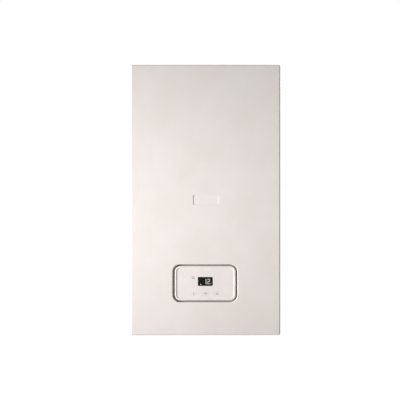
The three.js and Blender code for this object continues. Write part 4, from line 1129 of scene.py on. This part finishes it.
def cable_gland():
    """Gland with a domed clamping nut, a hexagon below the plate and a lock nut above it."""
    low, high = corners("cable_gland")
    centre = halfway("z", low, high)
    bm = bmesh.new()
    turned(bm, "z", centre, [
        (5, low.z), (7, low.z), (9, low.z + 2), (9.5, low.z + 5), (9.5, SHELF - 9), (8.5, SHELF - 9),
        (8.5, high.z), (5, high.z), (5, low.z),
    ], 64)
    for start, end in ((-10.5, -1.8), (0.3, 5)):
        nut(bm, "z", centre, 14, SHELF + start, SHELF + end, 8)
    show("lead_gland", bm, "root", BLACK, 0.25, ("cable_gland",), 40)


# ---- Heat exchanger, burner and fan -----------------------------------------------------------

DRUM = (-40.0, 520.0)
DRUM_BOX = corners("heat_exchanger")
DRUM_FRONT, DRUM_BACK = DRUM_BOX[0].y, DRUM_BOX[1].y
DRUM_RADIUS = 118.0


def heat_exchanger():
    """Stainless drum with rolled beads, exhaust neck, welded ports and mounting ears."""
    bm = bmesh.new()
    front, back, radius = DRUM_FRONT, DRUM_BACK, DRUM_RADIUS
    profile = [(95, front), (radius + 6, front), (radius + 6, front + 3), (radius + 1, front + 3.4)]
    for middle in (-190, -160, -130):
        profile += [(radius, middle - 5), (radius + 2.4, middle - 2), (radius + 2.4, middle + 2),
                    (radius, middle + 5)]
    profile += [(radius, back - 6), (radius - 2, back - 2), (radius - 8, back), (70, back),
                (66, back - 3), (40, back - 3), (36, back), (0, back)]
    profile += [(0, back - 5.5), (radius - 4, back - 5.5), (radius - 2.5, back - 9),
                (radius - 2.5, front + 3), (95, front + 3), (95, front)]
    turned(bm, "y", DRUM, profile, 96)
    turned(bm, "z", FLUE_AXIS, [
        (30, DRUM[1] + 95), (34, DRUM[1] + 95), (34, 636), (35.5, 638), (35.5, 643), (34, 645),
        (30, 645), (30, DRUM[1] + 95),
    ], 64)
    for left, right in ((-200, -150), (70, 200)):
        block(bm, (left, front + 0.2, 490), (right, front + 2.9, 524), 0.6, 2)
    flow_port, side = (-130, DRUM[1]), DRUM[0] - radius
    tube(bm, "x", flow_port, 13, 8, side - 2, side + 12, 48)
    tube(bm, "z", RETURN_PORT, 13, 8, 405, 424, 48)
    tube(bm, "z", DRAIN_PORT, 12, 7, 390, 406, 48)
    show("exchanger_drum", bm, "root", STEEL, 0.3, ("heat_exchanger",), 30)
    weld = bmesh.new()
    for axis, centre, place, reach in (
        ("x", flow_port, side + 3, 13.5), ("z", RETURN_PORT, 420.5, 13.5),
        ("z", DRAIN_PORT, 403.5, 12.5), ("z", FLUE_AXIS, 631.5, 34.5),
    ):
        crown, foot = rippled(reach + 1.9, 0.35, 40), rippled(reach + 1.2, 0.35, 40)
        turned(weld, axis, centre, [
            (foot, place - 1.4), (crown, place), (foot, place + 1.4), (reach - 1, place + 1.6),
            (reach - 1, place - 1.6),
        ], 160)
    show("exchanger_welds", weld, "root", STEEL, 0, (), 60)
    ears = bmesh.new()
    for x in (-190, 190):
        for z in (498, 516):
            screw(ears, "y", (x, z), 5, front + 0.2, -1, 4)
    for place in around(DRUM, radius + 1.5, 12, 1 / 24):
        rod(ears, "y", place, 2.6, front - 1.4, front + 0.5, 20)
    show("exchanger_bolts", ears, "root", BOLT, 0.2)


def water_coil():
    """Helical water tube inside the drum."""
    bm = bmesh.new()
    turns, steps, pitch, radius = 4, 48, 22, 98
    stations = []
    for i in range(turns * steps + 1):
        angle = TURN * i / steps
        x, z = DRUM[0] + radius * math.cos(angle), DRUM[1] + radius * math.sin(angle)
        stations.append(Vector((x, -110 - pitch * i / steps, z)))
    sweep(bm, stations, 7, 0, 16)
    show("water_coil", bm, "root", STEEL, 0, ("heat_exchanger_coil",), 60)


def burner():
    """Cast burner door with ribs, its studs and nuts, the burner tube and the electrode."""
    rear = DRUM_FRONT - 0.3
    bm = bmesh.new()
    turned(bm, "y", DRUM, [
        (17, rear), (110, rear), (110, rear - 4.5), (108.8, rear - 5.7), (92, rear - 5.7),
        (90, rear - 4.6), (72, rear - 4.6), (67, rear - 6.5), (57.5, -238.5), (55, -240), (40, -240),
        (38.5, -238.8), (34, -238.8), (32, -240), (17, -240), (17, rear),
    ], 96)
    for index in range(12):
        angle = TURN * (index + 0.5) / 12
        rib = bmesh.new()
        block(rib, (64, rear - 7.6, -1.6), (104, rear - 3, 1.6), 0.7, 2)
        move = Matrix.Translation((DRUM[0], 0, DRUM[1])) @ Matrix.Rotation(-angle, 4, "Y")
        bmesh.ops.transform(rib, matrix=move, verts=rib.verts)
        merge(bm, rib)
    show("burner_door_casting", bm, "root", ALUMINIUM, 0.3, ("burner_door",), 40)
    nuts = bmesh.new()
    for index in range(6):
        place = about(DRUM, 100, (index + 0.5) / 6)
        tube(nuts, "y", place, 7, 2.6, rear - 6.5, rear - 5.6, 32)
        nut(nuts, "y", place, 5.5, -232.2, rear - 6.4)
        rod(nuts, "y", place, 2.8, -233, -228, 20)
    show("burner_door_nuts", nuts, "root", BOLT, 0.2)
    cylinder = bmesh.new()
    profile = [(33, DRUM_FRONT), (45, DRUM_FRONT), (45, -220), (35, -220)]
    for index in range(8):
        place = -212 + 11 * index
        profile += [(35, place - 2), (35.8, place), (35, place + 2)]
    profile += [(35, -125), (0, -125), (0, -127), (33, -127), (33, DRUM_FRONT)]
    turned(cylinder, "y", DRUM, profile, 64)
    show("burner_cylinder", cylinder, "root", STEEL, 0, ("burner_tube",), 40)
    low, high = corners("ignition_electrode")
    centre = halfway("y", low, high)
    insulator = bmesh.new()
    turned(insulator, "y", centre, [
        (0, -258), (3.6, -258), (4.6, -256), (4.6, -252), (3.9, -250), (4.6, -248), (4.6, -244),
        (3.9, -242), (4.6, -240), (4.6, -234), (8, -232.3), (8, -228.4), (4.6, -228.2), (4.6, -206),
        (0, -206),
    ], 40)
    show("electrode_insulator", insulator, "root", CERAMIC, 0.15, ("ignition_electrode",), 40)
    tip = bmesh.new()
    rod(tip, "y", centre, 1.2, low.y, -257, 16)
    rod(tip, "y", centre, 1.2, -207, high.y, 16)
    show("electrode_tips", tip, "root", STEEL, 0.1)


FAN = (128.0, 415.0)


def fan():
    """Cast scroll, motor with ribs and plug, and the impeller."""
    cast("fan_scroll", ALUMINIUM, 1.3, 5)
    rear = corners("fan_motor")[1].y
    bm = bmesh.new()
    can = ribbed(42, 0.5, 36, 0)
    turned(bm, "y", FAN, [
        (5, rear), (47, rear), (48, rear - 1), (48, rear - 3.4), (47, rear - 4.2), (42.5, rear - 4.2),
        (can, rear - 6), (can, -240), (41, -244), (37, -249), (34, -250), (12, -250), (11, -249),
        (0, -249), (0, -240), (5, -240), (5, rear),
    ], 144)
    block(bm, (FAN[0] + 20, -238, FAN[1] - 50), (FAN[0] + 40, -214, FAN[1] - 30), 1.2)
    block(bm, (FAN[0] + 22, -234, FAN[1] - 53), (FAN[0] + 38, -220, FAN[1] - 49), 0.6)
    show("fan_motor_housing", bm, "root", BLACK, 0.3, ("fan_motor",), 40)
    bolts = bmesh.new()
    for place in around(FAN, 45, 4, 0.125):
        screw(bolts, "y", place, 2.6, rear - 4.2, -1, 2.2)
    for place in around(FAN, 60, 8, 0.06):
        screw(bolts, "y", place, 3.2, -205, -1, 2.4)
    show("fan_screws", bolts, "root", BOLT, 0.15)
    dress("fan_impeller", BLACK, 0.25)


def manifold():
    """Swan neck from the fan to the burner door, with bolted flanges."""
    x, y, low = 172, -178, 500.3  # where it starts, on the fan's outlet
    flange, end = 503.3, -240.3
    bm = bmesh.new()
    sweep(bm, bends([
        (x, y, low), (x, y, 560), (x, -268, 560), (DRUM[0], -268, DRUM[1]), (DRUM[0], end, DRUM[1]),
    ], 24, 14), 20, 3, 48)
    block(bm, (x - 25, y - 25, low), (x + 25, y + 25, flange), 0.8, 2)
    tube(bm, "y", DRUM, 30, 17, end - 3, end, 64)
    show("swan_neck", bm, "root", ALUMINIUM, 0.4, ("gas_air_manifold",))
    bolts = bmesh.new()
    for at_door, at_fan in zip(around(DRUM, 25.5, 4, 0.125), around((x, y), 29, 4, 0.125)):
        screw(bolts, "y", at_door, 3.2, end - 3, -1, 2.6)
        screw(bolts, "z", at_fan, 3.2, flange, 1, 2.6)
    show("swan_neck_bolts", bolts, "root", BOLT, 0.2)


def gas_valve():
    """Gas valve: machined body, two coils with their plugs, two nipples and a screwed plug."""
    low, high = corners("gas_valve")
    x0, y0, z0 = low.x, low.y + 10, low.z
    x1, y1, z1 = high.x, high.y, 345
    bm = bmesh.new()
    block(bm, (x0, y0, z0 + 5), (x1, y1, z1), 3, 4)
    block(bm, (x0 + 6, y0 + 6, z0), (x1 - 6, y1 - 6, z0 + 6), 1.2, 2)
    for x in (x0 + 18, x0 + 56):
        rod(bm, "z", (x, y0 + 18), 15.5, z1 - 1, z1 + 2, 48)
    show("gas_valve_body", bm, "root", ALUMINIUM, 0.4, ("gas_valve",))
    coils = bmesh.new()
    for x in (x0 + 18, x0 + 56):
        turned(coils, "z", (x, y0 + 18), [
            (0, z1 + 1.5), (14, z1 + 1.5), (14, z1 + 5), (12.6, z1 + 6), (12.6, z1 + 20),
            (14, z1 + 21), (14, z1 + 25), (12.8, z1 + 26), (0, z1 + 26),
        ], 48)
        block(coils, (x - 5, y0 + 29, z1 + 8), (x + 5, y0 + 38, z1 + 20), 0.8)
    show("gas_valve_coils", coils, "root", BLACK, 0.3)
    nipples = bmesh.new()
    for x, z, radius in ((x0 + 20, z0 + 22, 4), (x0 + 40, z0 + 22, 3.4)):
        turned(nipples, "y", (x, z), [
            (0, y0 - 10), (radius - 1.2, y0 - 10), (radius, y0 - 8), (radius - 1, y0 - 6.5),
            (radius, y0 - 4), (radius, y0 + 1), (0, y0 + 1),
        ], 32)
    turned(nipples, "y", (x0 + 55, z0 + 35), [
        (0, y0 - 2), (star(3.4), y0 - 2), (star(3.6), y0 - 5.4), (10, y0 - 5.4), (11, y0 - 4.6),
        (11, y0 + 1), (0, y0 + 1),
    ], 60)
    for x, z in ((x0 + 5, z1 - 5), (x1 - 5, z1 - 5), (x0 + 5, z0 + 10), (x1 - 5, z0 + 10)):
        screw(nipples, "y", (x, z), 2.6, y0, -1, 1.8)
    show("gas_valve_fittings", nipples, "root", BRASS_TURNED, 0.15, (), 40)


def air_silencer():
    """Moulded air box with rounded edges, ribs, a nozzle and a slotted intake."""
    low, high = corners("air_silencer")
    bm = bmesh.new()
    x0, y0, z0 = low.x, low.y, low.z
    x1, y1, z1 = high.x, -94, high.z
    block(bm, (x0, y0, z0), (x1, y1, z1), 5, 4)
    for index in range(9):
        z = z0 + 100 + index * 24
        block(bm, (x0 + 8, y0 - 1.2, z), (x1 - 8, y0 + 1, z + 4), 0.6, 2)
    for x in (x0, x1):
        block(bm, (x - 1.5, y0 + 22, z0 + 10), (x + 1.5, y0 + 26, z1 - 10), 0.6, 2)
    tube(bm, "y", FAN, 30, 26, -149.7, y0 + 2, 64)
    show("air_box", bm, "root", BLACK, 0, ("air_silencer",), 40)
    grille = bmesh.new()
    for index in range(7):
        x = x0 + 27 + index * 6
        block(grille, (x, y0 + 12, z1 - 1), (x + 2, y1 - 12, z1 + 0.8), 0.3, 2)
    show("air_box_grille", grille, "root", GREY, 0)


# ---- Water side -------------------------------------------------------------------------------


def expansion_vessel():
    """Pressed steel pillow in red enamel, with its welded seam, port and filling valve."""
    low, high = corners("expansion_vessel")
    seam = 4
    half = high.x - seam
    bottom, top = 330, 700
    front, back = low.y, high.y
    middle = (0.0, (bottom + top) / 2)

    def outline(inset):
        return round_rect(middle, 2 * (half - inset), top - bottom - 2 * inset, 60 - inset, 12)

    bm = bmesh.new()
    radius = 22
    rings = rounded_edge(outline, radius, front, 10)[::-1]
    for sine, cosine in arc(10):
        rings.append(ring_of("y", outline(radius * cosine), back - radius + radius * sine))
    for inset, dent in ((30, -0.5), (34, -3), (60, -3.6)):
        rings.insert(0, ring_of("y", outline(min(inset, 59)), front - dent * 0.6))
        rings.append(ring_of("y", outline(min(inset, 59)), back + dent * 0.6))
    loft(bm, rings)
    slab(bm, "y", outline(-seam), -56, -52)
    rod(bm, "z", VESSEL_PORT, 9, bottom - 8, bottom + 20, 40)
    show("vessel_shell", bm, "root", ENAMEL, 0.3, ("expansion_vessel",), 34)
    cap = bmesh.new()
    turned(cap, "y", (0, 640), [(0, front - 3), (4, front - 3), (4.6, front - 2), (4.6, front + 6),
                                (0, front + 6)], 32)
    show("vessel_valve_cap", cap, "root", BLACK, 0.2)


PUMP = (120.0, 180.0)


def pump():
    """Pump: enamelled volute, motor can with cooling ribs, terminal box and impeller."""
    cast("pump_housing", PUMP_ENAMEL, 1.2, 6)
    face = corners("pump_motor")[1].y
    x, z = PUMP
    bm = bmesh.new()
    can = ribbed(41.4, 1.1, 30, 0.2)
    turned(bm, "y", PUMP, [
        (5, face), (45, face), (46, face - 1), (46, face - 7), (45, face - 8), (41.5, face - 8.4),
        (can, face - 12), (can, -203), (40, -207), (35, -213), (32, -215), (13, -215), (12, -213.5),
        (0, -213.5), (0, -180), (5, -180), (5, face),
    ], 180)
    show("pump_motor_can", bm, "root", PUMP_ENAMEL, 0.3, ("pump_motor",), 40)
    box = bmesh.new()
    block(box, (x - 26, -196, z + 32), (x + 26, -152, z + 56), 3, 4)
    block(box, (x - 14, -198, z + 38), (x + 14, -190, z + 50), 1, 2)
    show("pump_terminal_box", box, "root", BLACK, 0)
    plug = bmesh.new()
    turned(plug, "y", PUMP, [(0, -213), (9, -213), (9.6, -213.8), (9.6, -214.6), (8.8, -215),
                             (star(4.4), -215), (star(4.2), -214), (0, -214)], 72)
    for place in around(PUMP, 41.5, 4, 0.125):
        screw(plug, "y", place, 3.2, face - 7.6, -1, 4)
    show("pump_screws", plug, "root", BRASS_TURNED, 0.1, (), 40)
    dress("pump_impeller", STEEL, 0.2)
    vent = bmesh.new()
    centre = (140, -112)
    turned(vent, "z", centre, [
        (0, 228.3), (8, 228.3), (8, 233), (12, 235.5), (13, 237), (13, 260), (12, 262), (6.5, 265),
        (6, 266), (0, 266),
    ], 64)
    show("air_vent_body", vent, "root", BRASS_TURNED, 0.2, ("air_vent",), 40)
    cap = bmesh.new()
    turned(cap, "z", centre, [(0, 265), (4.6, 265), (4.6, 270.6), (3.6, 272), (0, 272)], 32)
    show("air_vent_cap", cap, "root", BLACK, 0.2)


def plate_exchanger():
    """Brazed pack of plates, their edges showing, between two end plates."""
    low, high = corners("plate_heat_exchanger")
    bm = bmesh.new()
    middle = halfway("y", low, high)
    width, height = high.x - low.x, high.z - low.z
    rings = []
    plates = 22
    depth = high.y - low.y - 6
    for index in range(plates * 2 + 1):
        inset = 0.2 if index % 2 else 1.6
        place = low.y + 3 + depth * index / (2 * plates)
        outline = round_rect(middle, width - 2 * inset, height - 2 * inset, 14 - inset, 8)
        rings.append(ring_of("y", outline, place))
    loft(bm, rings)
    for start in (low.y, high.y - 3):
        slab(bm, "y", round_rect(middle, width, height, 14, 8), start, start + 3)
    for x in (-84, 76):
        tube(bm, "z", (x, low.y + 22), 8.5, 5, low.z, low.z + 6, 40)
    show("plate_pack", bm, "root", STEEL, 0.2, ("plate_heat_exchanger",), 30)


SAFETY_VALVE = (-150, 112)


def hydraulic_blocks():
    """Forged brass blocks, the diverter's actuator and the safety valve."""
    cast("flow_block", BRASS, 1.1, 5)
    cast("return_block", BRASS, 1.1, 5)
    low, high = corners("diverter_actuator")
    bm = bmesh.new()
    turned(bm, "z", (-118, -105), [(0, low.z), (17, low.z), (17, 197), (16, 199), (0, 199)], 48)
    block(bm, (-137, -124, 199), (-100, -90, high.z), 3, 4)
    block(bm, (-126, low.y, 206), (-110, -122, 222), 1, 2)
    for z in (212, 220, 228):
        block(bm, (-137.6, -118, z), (-136, -96, z + 3), 0.4, 2)
    show("diverter_motor", bm, "root", BLACK, 0, ("diverter_actuator",), 40)
    low = corners("safety_valve")[0]
    x, z = SAFETY_VALVE
    valve = bmesh.new()
    rod(valve, "y", (x, z), 10, -146, -135.3, 48)
    nut(valve, "y", (x, z), 15, -160, -145)
    turned(valve, "y", (x, z), [
        (3.9, low.y), (11, low.y), (12, low.y + 1), (12, -159), (3.9, -159), (3.9, low.y),
    ], 64)
    turned(valve, "z", (x, -152), [*barbs(5, 6.8, 8, low.z), (8, z), (5, z), (5, low.z)], 48)
    show("safety_valve_body", valve, "root", BRASS_TURNED, 0.25, ("safety_valve",), 40)


def knobs():
    """Safety valve knob and filling tap knob."""
    low, high = corners("safety_valve_knob")
    bm = bmesh.new()
    face = low.y
    turned(bm, "y", SAFETY_VALVE, [
        (0, face + 1.2), (7, face + 1.2), (8, face), (12.5, face), (fluted(14.4, 2, 8), face + 1),
        (fluted(15, 2.2, 8), face + 3), (fluted(15, 2.2, 8), -183), (fluted(14.2, 2, 8), -181.2),
        (3.5, -181), (3.5, high.y), (0, high.y),
    ], 128)
    show("safety_knob_moulding", bm, "safety_valve_knob", RED, 0.2, ("safety_valve_knob",), 40)
    low, high = corners("filling_tap_knob")
    centre = halfway("z", low, high)
    bm = bmesh.new()
    turned(bm, "z", centre, [
        (0, 24), (11, 24), (12, 25), (fluted(12, 0.6, 20), 26), (fluted(12, 0.6, 20), 33), (11, 34),
        (4, 34), (4, high.z), (0, high.z),
    ], 160)
    block(bm, (low.x, centre[1] - 3, low.z), (high.x, centre[1] + 3, 25.5), 1.6, 4)
    show("tap_knob_moulding", bm, "filling_tap_knob", BLACK, 0.2, ("filling_tap_knob",), 40)


# ---- Control box's inside ---------------------------------------------------------------------


def control_box():
    """Housing, rear cover, and both boards with their parts."""
    dress("control_housing", GREY, 0.6)
    dress("control_rear_cover", GREY, 0.5)
    ribs = bmesh.new()
    low, high = corners("control_rear_cover")
    for index in range(9):
        x = low.x + 24 + index * 31.5
        block(ribs, (x, high.y - 0.4, low.z + 12), (x + 1.6, high.y + 0.9, high.z - 50), 0.3, 2)
    show("rear_cover_ribs", ribs, "control_box", GREY, 0)
    cover_screws = bmesh.new()
    for x in (low.x + 7, high.x - 7):
        for z in (low.z + 8, high.z - 8):
            screw(cover_screws, "y", (x, z), 3.4, high.y, 1, 2)
    show("rear_cover_screws", cover_screws, "control_box", BOLT, 0.15)

    low, high = corners("display_board")
    front = DISPLAY_BOARD
    bm = bmesh.new()
    block(bm, (low.x, front, low.z), (high.x, front + 1.6, high.z), 0.3, 2)
    show("display_circuit", bm, "control_box", SOLDER_MASK, 0, ("display_board",))
    parts = bmesh.new()
    block(parts, (-22, WINDOW[1].y + 0.3, 133), (21.5, front + 0.2, 161), 0.5, 2)
    for node in KEY_NODES:
        x, z = halfway("y", *corners(node))
        block(parts, (x - 3, front - 1.3, z - 3), (x + 3, front + 0.2, z + 3), 0.3, 2)
    show("display_module", parts, "control_box", BLACK, 0)

    low, high = corners("main_circuit_board")
    rear = -260.4  # the side that carries the parts
    bm = bmesh.new()
    block(bm, (low.x, low.y, low.z), (high.x, rear, high.z), 0.3, 2)
    show("main_circuit", bm, "control_box", SOLDER_MASK, 0, ("main_circuit_board",))
    black, pale = bmesh.new(), bmesh.new()
    block(black, (-100, rear - 0.2, 150), (-60, rear + 15, 190), 1, 2)
    for x in (-40, -18, 4):
        block(black, (x, rear - 0.2, 165), (x + 18, rear + 13, 190), 0.8, 2)
    for x, z in ((-30, 130), (12, 128), (45, 140)):
        block(black, (x, rear - 0.2, z), (x + 14, rear + 2.2, z + 14), 0.3, 2)
    turned(black, "y", (60, 175), [
        (0, rear - 0.2), (9.6, rear - 0.2), (10, rear + 1), (9.4, rear + 2), (10, rear + 3),
        (10, rear + 14.4), (9.4, rear + 15), (0, rear + 15),
    ], 48)
    for x in (-95, -55, -15, 25, 65):
        block(pale, (x, rear - 0.2, 92), (x + 32, rear + 11, 104), 0.8, 2)
        for pin in range(6):
            block(pale, (x + 2.5 + 5 * pin, rear + 10.5, 94), (x + 4.5 + 5 * pin, rear + 11.6, 102),
                  0.2, 1)
    show("circuit_black_parts", black, "control_box", BLACK, 0)
    show("circuit_connectors", pale, "control_box", CERAMIC, 0)


# ---- Stage ------------------------------------------------------------------------------------


FLOOR_GLOW = 0.85
FLOOR_DROP = 1.2  # the boiler hangs this far above the floor, in metres
AMBIENT = 0.325


def floor():
    """Pale floor that keeps the boiler's shadow and otherwise shows as white."""
    look = Look("pale_floor", "", 0.9)
    tree = look.tree
    look.colour(look.mix(look.noise(400, 2), rgb(0xf2f2f2), rgb(0xeeeeee)))
    path = look.add("ShaderNodeLightPath")
    seen = look.sum(path.outputs["Is Camera Ray"], path.outputs["Is Glossy Ray"])
    seen = look.sum(seen, path.outputs["Is Transmission Ray"], "MAXIMUM")
    strength = look.sum(seen, FLOOR_GLOW, "MULTIPLY")
    glow = look.add("ShaderNodeEmission", {"Color": (1, 1, 1, 1), "Strength": strength})
    both = look.add("ShaderNodeAddShader", {0: look.shader.outputs[0], 1: glow.outputs[0]})
    tree.links.new(both.outputs[0], tree.nodes["Material Output"].inputs["Surface"])
    bm = bmesh.new()
    bmesh.ops.create_grid(bm, x_segments=8, y_segments=8, size=9)
    mesh = bpy.data.meshes.new("floor")
    bm.to_mesh(mesh)
    bm.free()
    mesh.materials.append(look.material)
    piece = placed("floor", mesh)
    piece.location.z = BASE - FLOOR_DROP


def world():
    """Even studio surround: white where it is seen, soft where it lights."""
    made = bpy.data.worlds.new("studio")
    bpy.context.scene.world = made
    made.use_nodes = True
    tree = made.node_tree
    back = tree.nodes["Background"]
    back.inputs["Color"].default_value = (1, 1, 1, 1)
    path = add_node(tree, "ShaderNodeLightPath")
    seen = path.outputs["Is Camera Ray"]
    for ray in ("Is Glossy Ray", "Is Transmission Ray"):
        either = {0: seen, 1: path.outputs[ray]}
        seen = add_node(tree, "ShaderNodeMath", either, operation="MAXIMUM").outputs[0]
    levels = {"Value": seen, "To Min": AMBIENT, "To Max": 1.0}
    level = add_node(tree, "ShaderNodeMapRange", levels)
    tree.links.new(level.outputs[0], back.inputs["Strength"])


def lamp(name, place, aim, size, power, spread):
    """Square soft light at a place in the row frame, turned to what it lights. Spread is in degrees."""
    data = bpy.data.lights.new(name, "AREA")
    data.size = size
    data.energy = power
    data.spread = math.radians(spread)
    piece = placed(name, data)
    piece.location = place
    piece.rotation_euler = (Vector(aim) - Vector(place)).to_track_quat("-Z", "Y").to_euler()


def camera():
    """Long lens straight at the front, as the photograph was taken."""
    distance = 4.0
    view_width = 1.0943  # what the picture's width takes in at the casing's front, in metres
    view_x = -0.0148
    data = bpy.data.cameras.new("camera")
    data.sensor_width = 36
    data.lens = data.sensor_width * distance / view_width
    piece = placed("camera", data)
    piece.location = (view_x, FRONT * MM - distance, BASE + CASING_SIZE.z * MM / 2)
    piece.rotation_euler = (math.pi / 2, 0, 0)
    bpy.context.scene.camera = piece


def studio():
    middle = Vector((0, FRONT * MM, BASE + 0.37))
    floor()
    world()
    lit_spot = middle + Vector((-0.13, 0, -0.06))
    lamp("key", middle + Vector((-2.4, -1.05, -0.1)), lit_spot, 0.5, 6.6, 45)
    lamp("rear_fill", middle + Vector((1.2, 2.4, 1.0)), middle, 1.2, 22, 180)
    bpy.context.scene.view_settings.view_transform = "Standard"


camera()
front_casing()
badge()
fascia()
bezel()
display()
display_reading()
keys()
panels()
panel_screws()
casing_screws()
flue_collar()
exhaust_duct()
for stub_node in ("heating_flow_stub", "hot_water_stub", "cold_water_stub", "heating_return_stub"):
    stub(stub_node)
gas_pipe()
water_pipes()
condensate_parts()
cable_gland()
heat_exchanger()
water_coil()
burner()
fan()
manifold()
gas_valve()
air_silencer()
expansion_vessel()
pump()
plate_exchanger()
hydraulic_blocks()
knobs()
control_box()
studio()
